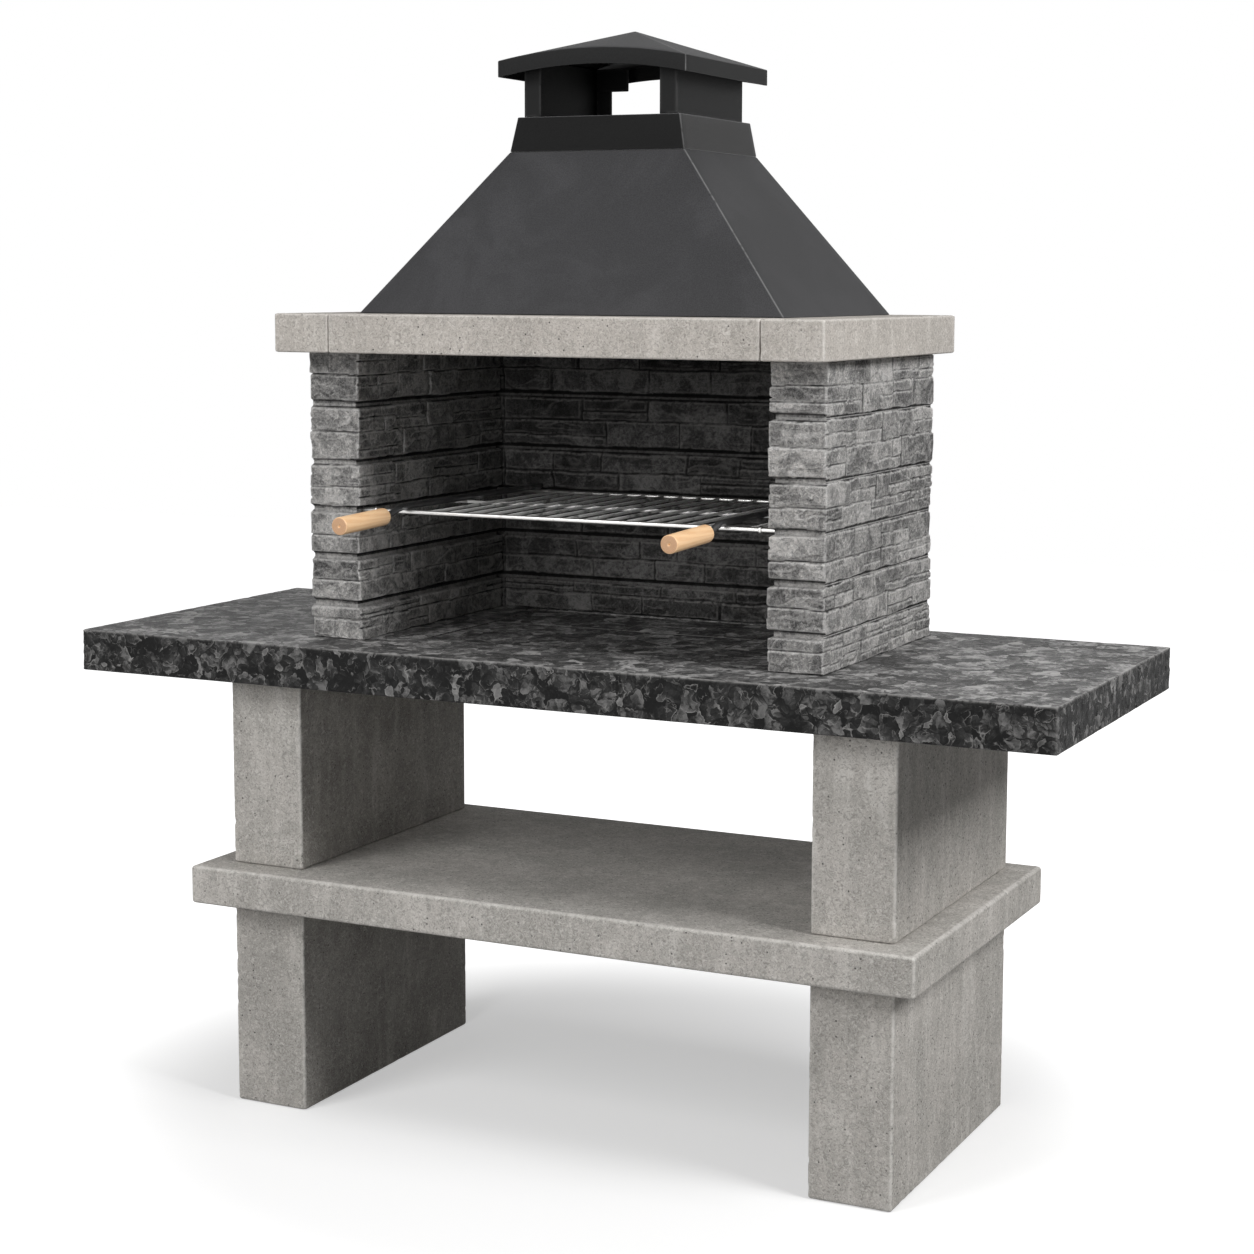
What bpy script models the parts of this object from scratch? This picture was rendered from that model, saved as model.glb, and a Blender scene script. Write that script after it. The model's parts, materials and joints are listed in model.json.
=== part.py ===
"""Outdoor masonry barbecue: cast legs and shelf, a stone worktop with a hearth, split-stone
walls, a lintel ring, a sheet steel hood with its chimney cap, and a grid that slides out.

Metres, +Z up, the front faces -Y. The floor is Z = 0 and the origin is the middle of the
whole object's footprint, handles included. Run it in Blender 4.5.
"""
import math
import random

import bpy
import bmesh
from mathutils import Matrix, Vector

# Clearances and small common sizes
SEAT_GAP = 0.0003            # between two pieces that rest on each other
CUT_OVERRUN = 0.010          # how far a cutter reaches past the face that it opens
SHEET = 0.003                # steel sheet of the hood, collar, chimney and cap
SHEET_ARRIS = 0.0012         # rounding of the sheet's folds
ARRIS_SEGMENTS = 2
ROUND_SIDES = 24
BAR_SIDES = 12
ROD_SIDES = 8
SMOOTH_ANGLE = math.radians(35)

# Worktop and hearth
WORKTOP_LENGTH = 1.860
WORKTOP_DEPTH = 0.702
WORKTOP_THICKNESS = 0.075
WORKTOP_ARRIS = 0.004
HEARTH_WIDTH = 0.620
HEARTH_FRONT_SETBACK = 0.191     # from the worktop's front edge
HEARTH_SLAB = 0.265              # side of a full square slab
HEARTH_SLAB_THICKNESS = 0.022
HEARTH_DROP = 0.002              # the slabs lie this much below the worktop
HEARTH_JOINT = 0.0015
HEARTH_ARRIS = 0.0012
HEARTH_BACK_MARGIN = 0.002       # from the pocket to the foot of the back wall

# Legs and shelf
LEG_THICKNESS = 0.149
LEG_DEPTH = 0.590
LEG_SPACING = 0.996              # clear width between the two legs
LEG_FRONT_SETBACK = 0.069        # from the worktop's front edge
LOWER_LEG_HEIGHT = 0.382
UPPER_LEG_HEIGHT = 0.348
LEG_ARRIS = 0.005
SHELF_LENGTH = 1.404
SHELF_DEPTH = 0.692
SHELF_THICKNESS = 0.070
SHELF_FRONT_SETBACK = 0.010
SHELF_ARRIS = 0.006

# Split-stone walls
FIREBOX_WIDTH = 0.788            # between the faces of the two side walls
WALL_HEIGHT = 0.516
SIDE_WALL_THICKNESS = 0.107
SIDE_WALL_DEPTH = 0.522
SIDE_WALL_SETBACK = 0.114        # from the worktop's front edge
BACK_WALL_THICKNESS = 0.042
BACK_WALL_LAP = 0.055            # how far the back wall reaches behind each side wall
COURSE_SHARES = (0.072, 0.052, 0.085, 0.081, 0.072, 0.093, 0.078, 0.086, 0.106, 0.096, 0.099, 0.080)
COURSES_PER_BLOCK = 2
STONE_RELIEF = 0.006             # the deepest a stone's face lies behind its wall's face
STONE_JOINT_DEPTH = 0.009
STONE_JOINT_HALF_WIDTH = 0.0018
COURSE_JOINT_DEPTH = 0.0075
COURSE_JOINT_HALF_HEIGHT = 0.002
BLOCK_JOINT_DEPTH = 0.008        # all round a block, where the next one meets it
GRID_GROOVE_DEPTH = 0.012        # the same joint in the firebox, deep enough to carry the grid
GRID_GROOVE_HEIGHT = 0.011
JOINT_NICK = 0.0005
STONE_SEED = 11
STONE_LENGTH_SPREAD_SHARE = 0.45
SIDE_STONES = (4, 5)             # stones along a side wall's course, fewest and most
BACK_STONES = (4, 5)

# Lintel ring
LINTEL_END_OVERHANG = 0.021      # past the outer face of each side wall
LINTEL_DEPTH = 0.639
LINTEL_THICKNESS = 0.068
LINTEL_FRONT_SETBACK = 0.041
LINTEL_END_WIDTH = 0.111         # of a side beam, where it shows on the front
SIDE_BEAM_WIDTH = 0.147
FRONT_BEAM_DEPTH = 0.125
BACK_BEAM_DEPTH = 0.075
BEAM_JOINT = 0.0008
LINTEL_ARRIS = 0.004

# Hood and collar
HOOD_END_SETBACK = 0.111         # from either end of the lintel
HOOD_DEPTH = 0.503
HOOD_FRONT_SETBACK = 0.100       # from the lintel's front face
HOOD_HEIGHT = 0.2845
HOOD_FOOT_FLANGE = 0.022
SHOULDER_WIDTH = 0.342
SHOULDER_DEPTH = 0.313
SHOULDER_FRONT_SETBACK = 0.124   # from the hood's front edge
SHOULDER_FLANGE = 0.014
COLLAR_TOP_WIDTH = 0.318
COLLAR_TOP_DEPTH = 0.303
COLLAR_TOP_SETBACK = 0.007
COLLAR_HEIGHT = 0.0605
COLLAR_TOP_FLANGE = 0.050

# Chimney sides and cap
CHIMNEY_WIDTH = 0.298
CHIMNEY_DEPTH = 0.280
CHIMNEY_SETBACK = 0.008          # from the collar's front top edge
CHIMNEY_POST_WIDTH = 0.033
VENT_HEIGHT = 0.068              # from the collar to the cap's fascia
CAP_WIDTH = 0.366
CAP_DEPTH = 0.353
CAP_FASCIA = 0.028
CAP_RISE = 0.060
CAP_ARCH = 0.018                 # how far the front and back fascias arch upwards
CAP_ARCH_STEPS = 10
CAP_BRACKET_REACH = 0.036        # past the edge of the post
CAP_BRACKET_DROP = 0.0055        # below the cap's fascia

# Grid
GRID_LEVEL = 3                   # the block joint, counted from the worktop, that carries it
GRID_BAR_DIAMETER = 0.0085
GRID_BAR_BEARING = 0.008         # how far a bar reaches into the wall's groove
GRID_FRONT_SETBACK = 0.024       # from the front of the side walls to the front bar
GRID_BACK_CLEARANCE = 0.003
GRID_ROD_DIAMETER = 0.0055
GRID_SHAFT_OVERHANG = 0.006      # how far a handle's shaft reaches past the back bar's middle
GRID_POSITIONS = 19
GRID_EDGE_MARGIN = 0.045         # from a side wall's face to the outermost rod
GRID_SHAFT_POSITION = 1          # the place, counted from either end, that a handle's shaft takes
GRID_CROSS_DIAMETER = 0.006
GRID_CROSS_SHARE = 0.56          # of the way from the front bar to the back bar
GRID_CROSS_MARGIN = 0.020
WELD_DEPTH = 0.0008              # how far the cross rod is sunk into the rods that it is welded to
COLLAR_RING_DIAMETER = 0.0135
COLLAR_RING_WIDTH = 0.005
COLLAR_RING_FROM_WALL = 0.020

# Handles
SHAFT_DIAMETER = 0.0115
SHAFT_REACH = 0.077              # from the front bar to the wood
SHAFT_DROP_START = 0.010         # in front of the bar, where the shaft starts to bend down
SHAFT_DROP = 0.012               # from its height over the bar to its height at the wood
SHAFT_DROP_STEPS = 8
SHAFT_TANG = 0.110               # length of shaft inside the wood
HANDLE_DIAMETER = 0.031
HANDLE_LENGTH = 0.145
HANDLE_FRONT_CHAMFER = 0.0022
HANDLE_BACK_ROUND = 0.006
HANDLE_ROUND_STEPS = 4
HANDLE_END_HOLE = 0.0035
HANDLE_DROOP = math.radians(1.8)

# Places across, all about the middle plane
FIREBOX_HALF = FIREBOX_WIDTH / 2
SIDE_WALL_OUTER = FIREBOX_HALF + SIDE_WALL_THICKNESS
LEG_INNER = LEG_SPACING / 2
LINTEL_HALF = SIDE_WALL_OUTER + LINTEL_END_OVERHANG
HOOD_HALF = LINTEL_HALF - HOOD_END_SETBACK

# Places in depth: the footprint runs from the handles' tips to the worktop's back edge
HANDLE_TIP_REACH = (SHAFT_REACH + HANDLE_LENGTH * math.cos(HANDLE_DROOP)
                    + (HANDLE_DIAMETER / 2 - HANDLE_FRONT_CHAMFER) * math.sin(HANDLE_DROOP))
TIP_OVERHANG = max(HANDLE_TIP_REACH - SIDE_WALL_SETBACK - GRID_FRONT_SETBACK, 0.0)
WORKTOP_BACK_Y = (WORKTOP_DEPTH + TIP_OVERHANG) / 2
WORKTOP_FRONT_Y = WORKTOP_BACK_Y - WORKTOP_DEPTH
WALL_FRONT_Y = WORKTOP_FRONT_Y + SIDE_WALL_SETBACK
WALL_BACK_Y = WALL_FRONT_Y + SIDE_WALL_DEPTH
BACK_WALL_FACE_Y = WALL_BACK_Y + SEAT_GAP
LINTEL_FRONT_Y = WORKTOP_FRONT_Y + LINTEL_FRONT_SETBACK
HOOD_FRONT_Y = LINTEL_FRONT_Y + HOOD_FRONT_SETBACK
SHOULDER_FRONT_Y = HOOD_FRONT_Y + SHOULDER_FRONT_SETBACK
COLLAR_FRONT_Y = SHOULDER_FRONT_Y + COLLAR_TOP_SETBACK
CHIMNEY_FRONT_Y = COLLAR_FRONT_Y + CHIMNEY_SETBACK
CHIMNEY_BACK_Y = CHIMNEY_FRONT_Y + CHIMNEY_DEPTH
CAP_CENTRE_Y = (CHIMNEY_FRONT_Y + CHIMNEY_BACK_Y) / 2
GRID_FRONT_Y = WALL_FRONT_Y + GRID_FRONT_SETBACK
GRID_BACK_Y = BACK_WALL_FACE_Y - GRID_BACK_CLEARANCE - GRID_SHAFT_OVERHANG

# Heights, stacked upwards with a seat gap at each bed
SHELF_Z = LOWER_LEG_HEIGHT + SEAT_GAP
UPPER_LEG_Z = SHELF_Z + SHELF_THICKNESS + SEAT_GAP
WORKTOP_Z = UPPER_LEG_Z + UPPER_LEG_HEIGHT + SEAT_GAP
WORKTOP_TOP = WORKTOP_Z + WORKTOP_THICKNESS
WALL_Z = WORKTOP_TOP + SEAT_GAP
LINTEL_Z = WALL_Z + WALL_HEIGHT + SEAT_GAP
HOOD_Z = LINTEL_Z + LINTEL_THICKNESS + SEAT_GAP
COLLAR_Z = HOOD_Z + HOOD_HEIGHT + SEAT_GAP
CHIMNEY_Z = COLLAR_Z + COLLAR_HEIGHT + SEAT_GAP
FASCIA_Z = CHIMNEY_Z + VENT_HEIGHT
EAVE_Z = FASCIA_Z + CAP_FASCIA
APEX_Z = EAVE_Z + CAP_RISE


def clear_scene():
    """Remove whatever the opened scene holds."""
    for scene_object in list(bpy.data.objects):
        bpy.data.objects.remove(scene_object, do_unlink=True)


def make_material(name, colour, roughness, metallic):
    """One Principled material, as the piece looks in plain light."""
    material = bpy.data.materials.new(name)
    material.use_nodes = True
    shader = material.node_tree.nodes["Principled BSDF"]
    shader.inputs["Base Color"].default_value = (*colour, 1.0)
    shader.inputs["Roughness"].default_value = roughness
    shader.inputs["Metallic"].default_value = metallic
    material.diffuse_color = (*colour, 1.0)
    return material


def make_materials():
    """The finishes, by the name that the pieces ask for."""
    finishes = {
        "concrete": ((0.38, 0.365, 0.34), 0.90, 0.0),
        "lintel_concrete": ((0.47, 0.44, 0.41), 0.88, 0.0),
        "slate_composite": ((0.055, 0.057, 0.062), 0.62, 0.0),
        "hearth_slab": ((0.045, 0.045, 0.047), 0.72, 0.0),
        "split_stone": ((0.27, 0.265, 0.26), 0.88, 0.0),
        "sooted_stone": ((0.07, 0.068, 0.066), 0.90, 0.0),
        "hood_paint": ((0.032, 0.032, 0.035), 0.55, 0.2),
        "bright_steel": ((0.62, 0.61, 0.60), 0.22, 1.0),
        "dark_steel": ((0.075, 0.075, 0.078), 0.42, 0.8),
        "beech": ((0.60, 0.36, 0.18), 0.55, 0.0),
    }
    return {name: make_material(name, *values) for name, values in finishes.items()}


def add_object(name, mesh, material, smooth=False):
    """Put a finished mesh into the scene under its piece's name."""
    piece = bpy.data.objects.new(name, mesh)
    bpy.context.scene.collection.objects.link(piece)
    mesh.materials.append(material)
    if smooth:
        mesh.shade_smooth()
        mesh.set_sharp_from_angle(angle=SMOOTH_ANGLE)
    return piece


def mesh_of(name, points, faces):
    """A mesh from corner points and faces, with its faces turned outwards."""
    mesh = bpy.data.meshes.new(name)
    mesh.from_pydata([tuple(point) for point in points], [], faces)
    shape = bmesh.new()
    shape.from_mesh(mesh)
    bmesh.ops.recalc_face_normals(shape, faces=shape.faces)
    shape.to_mesh(mesh)
    shape.free()
    return mesh


def round_arrises(piece, width):
    """Round a piece's sharp edges by a live bevel."""
    bevel = piece.modifiers.new("arris", "BEVEL")
    bevel.width = width
    bevel.segments = ARRIS_SEGMENTS
    bevel.limit_method = "ANGLE"
    bevel.use_clamp_overlap = True


def prism(name, outline, low, high, material, arris=None):
    """A plan outline, carried straight up from low to high."""
    count = len(outline)
    points = [(x, y, low) for x, y in outline] + [(x, y, high) for x, y in outline]
    faces = [list(range(count))[::-1], list(range(count, 2 * count))]
    for first in range(count):
        second = (first + 1) % count
        faces.append([first, second, second + count, first + count])
    piece = add_object(name, mesh_of(name, points, faces), material)
    if arris:
        round_arrises(piece, arris)
    return piece


def rectangle(left, right, front, back):
    """The four corners of a plan rectangle."""
    return [(left, front), (right, front), (right, back), (left, back)]


def slab(name, sides, low, high, material, arris=None):
    """A rectangular block: sides are left, right, front and back."""
    return prism(name, rectangle(*sides), low, high, material, arris)


def frustum_ring(name, stations, material, arris=None):
    """A rectangular sleeve. Each station is a half width, front, back and height; the
    sleeve's wall passes through them in turn and closes on the first."""
    points = []
    for half_width, front, back, height in stations:
        for x, y in rectangle(-half_width, half_width, front, back):
            points.append((x, y, height))
    faces = []
    for station in range(len(stations)):
        following = (station + 1) % len(stations)
        for corner in range(4):
            neighbour = (corner + 1) % 4
            faces.append([4 * station + corner, 4 * station + neighbour,
                          4 * following + neighbour, 4 * following + corner])
    piece = add_object(name, mesh_of(name, points, faces), material)
    if arris:
        round_arrises(piece, arris)
    return piece


def inset_station(station, inset, height):
    """A station drawn in by one distance on all four sides, at a new height."""
    half_width, front, back, _ = station
    return (half_width - inset, front + inset, back - inset, height)


def tapered_sleeve(name, bottom, top, bottom_flange, top_flange, material):
    """A sheet sleeve from a bottom station to a top one, with a flange turned in at each."""
    height = top[3] - bottom[3]
    run_half = (bottom[0] - top[0]) / height
    run_front = (top[1] - bottom[1]) / height
    run_back = (bottom[2] - top[2]) / height

    def inner(height_here):
        """The inside of the wall at a height: the sheet measured square to each slope."""
        rise = height_here - bottom[3]
        return (bottom[0] - run_half * rise - SHEET * math.hypot(1, run_half),
                bottom[1] + run_front * rise + SHEET * math.hypot(1, run_front),
                bottom[2] - run_back * rise - SHEET * math.hypot(1, run_back),
                height_here)

    stations = [
        bottom,
        top,
        inset_station(top, top_flange, top[3]),
        inset_station(top, top_flange, top[3] - SHEET),
        inner(top[3] - SHEET),
        inner(bottom[3] + SHEET),
        inset_station(bottom, bottom_flange, bottom[3] + SHEET),
        inset_station(bottom, bottom_flange, bottom[3]),
    ]
    return frustum_ring(name, stations, material, SHEET_ARRIS)


def add_tube(shape, start, end, radius, sides, bore=0.0):
    """Add one round bar to a bmesh, or a ring where it has a bore."""
    start = Vector(start)
    end = Vector(end)
    turn = (end - start).to_track_quat("Z", "Y")
    place = Matrix.Translation(start) @ turn.to_matrix().to_4x4()
    length = (end - start).length
    loops = []
    for loop_radius, height in ((radius, 0.0), (radius, length), (bore, length), (bore, 0.0)):
        if loop_radius > 0:
            angles = [2 * math.pi * side / sides for side in range(sides)]
            loops.append([shape.verts.new(place @ Vector((loop_radius * math.cos(angle),
                                                          loop_radius * math.sin(angle), height)))
                          for angle in angles])
    pairs = [(0, 1), (1, 2), (2, 3), (3, 0)] if bore > 0 else [(0, 1)]
    for first, second in pairs:
        for side in range(sides):
            neighbour = (side + 1) % sides
            shape.faces.new([loops[first][side], loops[first][neighbour],
                             loops[second][neighbour], loops[second][side]])
    if bore <= 0:
        shape.faces.new(loops[0][::-1])
        shape.faces.new(loops[1])


def tube_group(name, tubes, material, sides):
    """Several round bars or rings of one kind as one piece."""
    shape = bmesh.new()
    for tube in tubes:
        add_tube(shape, sides=sides, **tube)
    bmesh.ops.recalc_face_normals(shape, faces=shape.faces)
    mesh = bpy.data.meshes.new(name)
    shape.to_mesh(mesh)
    shape.free()
    return add_object(name, mesh, material, smooth=True)


def move_origin(piece, place):
    """Set a piece's origin without moving its surface."""
    piece.data.transform(Matrix.Translation(-Vector(place)))
    piece.location = place


# Legs, shelf, worktop and hearth

def build_stand(materials):
    """Four legs and the shelf between them."""
    concrete = materials["concrete"]
    leg_front = WORKTOP_FRONT_Y + LEG_FRONT_SETBACK
    for side, name in ((-1, "left"), (1, "right")):
        near = side * LEG_INNER
        far = side * (LEG_INNER + LEG_THICKNESS)
        sides = (min(near, far), max(near, far), leg_front, leg_front + LEG_DEPTH)
        slab(f"lower_leg_{name}", sides, 0.0, LOWER_LEG_HEIGHT, concrete, LEG_ARRIS)
        slab(f"upper_leg_{name}", sides, UPPER_LEG_Z, UPPER_LEG_Z + UPPER_LEG_HEIGHT, concrete, LEG_ARRIS)
    shelf_front = WORKTOP_FRONT_Y + SHELF_FRONT_SETBACK
    slab("shelf", (-SHELF_LENGTH / 2, SHELF_LENGTH / 2, shelf_front, shelf_front + SHELF_DEPTH),
         SHELF_Z, SHELF_Z + SHELF_THICKNESS, concrete, SHELF_ARRIS)


def hearth_sides():
    """The hearth pocket in the worktop: left, right, front and back."""
    return (-HEARTH_WIDTH / 2, HEARTH_WIDTH / 2, WORKTOP_FRONT_Y + HEARTH_FRONT_SETBACK,
            BACK_WALL_FACE_Y - HEARTH_BACK_MARGIN)


def build_worktop(materials):
    """The worktop slab, with the shallow pocket that holds the hearth."""
    worktop = slab("worktop", (-WORKTOP_LENGTH / 2, WORKTOP_LENGTH / 2, WORKTOP_FRONT_Y, WORKTOP_BACK_Y),
                   WORKTOP_Z, WORKTOP_TOP, materials["slate_composite"], WORKTOP_ARRIS)
    floor = WORKTOP_TOP - HEARTH_DROP - HEARTH_SLAB_THICKNESS - SEAT_GAP
    cutter = slab("hearth_cutter", hearth_sides(), floor, WORKTOP_TOP + CUT_OVERRUN,
                  materials["slate_composite"])
    cutter.hide_render = True
    cutter.display_type = "WIRE"
    cut = worktop.modifiers.new("hearth_pocket", "BOOLEAN")
    cut.operation = "DIFFERENCE"
    cut.solver = "EXACT"
    cut.object = cutter


def cut_lengths(total):
    """Full slabs along one direction, then the cut one that fills what is left."""
    edges = [0.0]
    while total - edges[-1] > HEARTH_SLAB:
        edges.append(edges[-1] + HEARTH_SLAB)
    edges.append(total)
    return list(zip(edges[:-1], edges[1:]))


def build_hearth(materials):
    """Square slabs laid from the pocket's front left corner, the last of each row cut."""
    left, right, front, back = hearth_sides()
    low = WORKTOP_TOP - HEARTH_DROP - HEARTH_SLAB_THICKNESS
    rows = cut_lengths(back - front)
    columns = cut_lengths(right - left)
    half_joint = HEARTH_JOINT / 2
    for row, (near, far) in enumerate(rows, start=1):
        for column, (start, end) in enumerate(columns, start=1):
            sides = (left + start + half_joint, left + end - half_joint,
                     front + near + half_joint, front + far - half_joint)
            slab(f"hearth_slab_{row}_{column}", sides, low, low + HEARTH_SLAB_THICKNESS,
                 materials["hearth_slab"], HEARTH_ARRIS)


# Split-stone walls

def draw_course(source, side_lengths, stone_counts, laps):
    """The stones of one course, side by side round the block. Each side gets the places of
    its joints and how deep each of its stones lies behind the wall's face; one stone of
    every side reaches the face itself, and so does the lap at either end of a side that
    stands against another wall."""
    course = []
    for length, count, lap in zip(side_lengths, stone_counts, laps):
        weights = [1 + STONE_LENGTH_SPREAD_SHARE * source.uniform(-1, 1) for _ in range(count)]
        total = sum(weights)
        joints = [lap + (length - 2 * lap) * sum(weights[:index]) / total for index in range(1, count)]
        recesses = [STONE_RELIEF * source.random() for _ in range(count)]
        recesses[source.randrange(count)] = 0.0
        if lap > 0:
            joints = [lap, *joints, length - lap]
            recesses = [0.0, *recesses, 0.0]
        course.append((joints, recesses))
    return course


def bed_course(lower, upper, depths):
    """The outline in a bed joint: its joints lie midway between those of the courses below
    and above, and every stone is drawn back to the joint's depth on its side."""
    course = []
    for (low_joints, recesses), (high_joints, _), depth in zip(lower, upper, depths):
        joints = [(low + high) / 2 for low, high in zip(low_joints, high_joints)]
        course.append((joints, [depth] * len(recesses)))
    return course


def course_outline(box, course, joint_depths):
    """The plan outline of a course: a rectangle whose sides step in and out with its
    stones, with a narrow V between neighbours."""
    left, right, front, back = box
    corners = [Vector((left, front)), Vector((right, front)), Vector((right, back)), Vector((left, back))]
    along = [Vector((1, 0)), Vector((0, 1)), Vector((-1, 0)), Vector((0, -1))]
    inwards = [Vector((0, 1)), Vector((-1, 0)), Vector((0, -1)), Vector((1, 0))]
    points = []
    for side in range(4):
        joints, recesses = course[side]
        last_of_previous = course[side - 1][1][-1]
        points.append(corners[side] + inwards[side] * recesses[0]
                      + inwards[side - 1] * last_of_previous)
        for joint, before, after in zip(joints, recesses[:-1], recesses[1:]):
            for shift, depth in ((-STONE_JOINT_HALF_WIDTH, before), (0.0, joint_depths[side]),
                                 (STONE_JOINT_HALF_WIDTH, after)):
                points.append(corners[side] + along[side] * (joint + shift) + inwards[side] * depth)
    return points


def stone_block(name, box, heights, courses, bed_depths, open_below, open_above, material):
    """One block of two courses. Its outline is carried up through the beds: a deep joint
    where another block meets it, and a shallow one between its own courses."""
    lower, upper = courses
    bottom, middle, top = heights
    half_groove = GRID_GROOVE_HEIGHT / 2
    plain = [STONE_JOINT_DEPTH for _ in bed_depths]
    nicked = [max(depth, STONE_JOINT_DEPTH) + JOINT_NICK for depth in bed_depths]
    own_depths = [COURSE_JOINT_DEPTH for _ in bed_depths]
    own_nicked = [depth + JOINT_NICK for depth in plain]
    levels = [
        (middle - COURSE_JOINT_HALF_HEIGHT, lower, plain),
        (middle, bed_course(lower, upper, own_depths), own_nicked),
        (middle + COURSE_JOINT_HALF_HEIGHT, upper, plain),
    ]
    if open_below:
        bed = bed_course(lower, lower, bed_depths)
        ledge = bottom + half_groove
        levels = [(bottom, bed, nicked), (ledge, bed, nicked), (ledge, lower, plain)] + levels
    else:
        levels = [(bottom, lower, plain)] + levels
    if open_above:
        bed = bed_course(upper, upper, bed_depths)
        ledge = top - half_groove
        levels += [(ledge, upper, plain), (ledge, bed, nicked), (top, bed, nicked)]
    else:
        levels += [(top, upper, plain)]

    points = []
    for height, course, joint_depths in levels:
        points += [(point.x, point.y, height) for point in course_outline(box, course, joint_depths)]
    count = len(points) // len(levels)
    faces = [list(range(count))[::-1], list(range(len(points) - count, len(points)))]
    for level in range(len(levels) - 1):
        for first in range(count):
            second = (first + 1) % count
            faces.append([level * count + first, level * count + second,
                          (level + 1) * count + second, (level + 1) * count + first])
    return add_object(name, mesh_of(name, points, faces), material)


def build_wall(name, box, stone_counts, laps, bed_depths, source, material):
    """A wall of stacked blocks. Stone counts, laps and bed depths go round it: front,
    right, back, left."""
    left, right, front, back = box
    side_lengths = (right - left, back - front, right - left, back - front)
    block_count = len(COURSE_SHARES) // COURSES_PER_BLOCK
    for block in range(block_count):
        first = block * COURSES_PER_BLOCK
        counts = [source.randint(*fewest_and_most) for fewest_and_most in stone_counts]
        courses = [draw_course(source, side_lengths, counts, laps) for _ in range(COURSES_PER_BLOCK)]
        heights = [WALL_Z + WALL_HEIGHT * sum(COURSE_SHARES[:first + step])
                   for step in range(COURSES_PER_BLOCK + 1)]
        if block > 0:
            heights[0] += SEAT_GAP
        stone_block(f"{name}_{block + 1}", box, heights, courses, bed_depths,
                    block > 0, block < block_count - 1, material)


def build_walls(materials):
    """The two side walls, and the back wall that stands against their back ends."""
    source = random.Random(STONE_SEED)
    one = (1, 1)
    no_laps = (0.0, 0.0, 0.0, 0.0)
    plain = BLOCK_JOINT_DEPTH
    build_wall("left_wall_block", (-SIDE_WALL_OUTER, -FIREBOX_HALF, WALL_FRONT_Y, WALL_BACK_Y),
               (one, SIDE_STONES, one, SIDE_STONES), no_laps, (plain, GRID_GROOVE_DEPTH, plain, plain),
               source, materials["split_stone"])
    build_wall("right_wall_block", (FIREBOX_HALF, SIDE_WALL_OUTER, WALL_FRONT_Y, WALL_BACK_Y),
               (one, SIDE_STONES, one, SIDE_STONES), no_laps, (plain, plain, plain, GRID_GROOVE_DEPTH),
               source, materials["split_stone"])
    half_width = FIREBOX_HALF + BACK_WALL_LAP
    build_wall("back_wall_block",
               (-half_width, half_width, BACK_WALL_FACE_Y, BACK_WALL_FACE_Y + BACK_WALL_THICKNESS),
               (BACK_STONES, one, BACK_STONES, one), (BACK_WALL_LAP, 0.0, 0.0, 0.0),
               (plain, plain, plain, plain), source, materials["sooted_stone"])


# Lintel ring

def build_lintel(materials):
    """Two notched side beams, with a front and a back beam let in between them."""
    concrete = materials["lintel_concrete"]
    top = LINTEL_Z + LINTEL_THICKNESS
    notch = LINTEL_HALF - LINTEL_END_WIDTH
    inner = LINTEL_HALF - SIDE_BEAM_WIDTH
    front = LINTEL_FRONT_Y
    back = LINTEL_FRONT_Y + LINTEL_DEPTH
    front_bed = front + FRONT_BEAM_DEPTH
    back_bed = back - BACK_BEAM_DEPTH
    for side, name in ((-1, "left"), (1, "right")):
        outline = [(LINTEL_HALF, front), (LINTEL_HALF, back), (notch, back), (notch, back_bed),
                   (inner, back_bed), (inner, front_bed), (notch, front_bed), (notch, front)]
        prism(f"lintel_beam_{name}", [(side * x, y) for x, y in outline], LINTEL_Z, top, concrete,
              LINTEL_ARRIS)
    span = notch - BEAM_JOINT
    slab("lintel_beam_front", (-span, span, front, front_bed - BEAM_JOINT), LINTEL_Z, top, concrete,
         LINTEL_ARRIS)
    slab("lintel_beam_back", (-span, span, back_bed + BEAM_JOINT, back), LINTEL_Z, top, concrete,
         LINTEL_ARRIS)


# Hood, collar, chimney and cap

def build_hood(materials):
    """The tapered hood and the steeper collar on its shoulder."""
    paint = materials["hood_paint"]
    shoulder_z = HOOD_Z + HOOD_HEIGHT
    foot = (HOOD_HALF, HOOD_FRONT_Y, HOOD_FRONT_Y + HOOD_DEPTH, HOOD_Z)
    shoulder = (SHOULDER_WIDTH / 2, SHOULDER_FRONT_Y, SHOULDER_FRONT_Y + SHOULDER_DEPTH, shoulder_z)
    tapered_sleeve("hood", foot, shoulder, HOOD_FOOT_FLANGE, SHOULDER_FLANGE, paint)
    collar_foot = (*shoulder[:3], COLLAR_Z)
    collar_top = (COLLAR_TOP_WIDTH / 2, COLLAR_FRONT_Y, COLLAR_FRONT_Y + COLLAR_TOP_DEPTH,
                  COLLAR_Z + COLLAR_HEIGHT)
    tapered_sleeve("hood_collar", collar_foot, collar_top, SHOULDER_FLANGE, COLLAR_TOP_FLANGE, paint)


def roof_pitch():
    """How steeply the cap's side faces rise."""
    return CAP_RISE / (CAP_WIDTH / 2)


def roof_thickness():
    """The cap's sheet measured straight down through its sloping side faces."""
    return SHEET * math.hypot(1, roof_pitch())


def panel_top():
    """Where the cap rests on the outer top edge of a chimney side."""
    run = CAP_WIDTH / 2 - CHIMNEY_WIDTH / 2
    return EAVE_Z + roof_pitch() * run - roof_thickness() - SEAT_GAP


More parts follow.
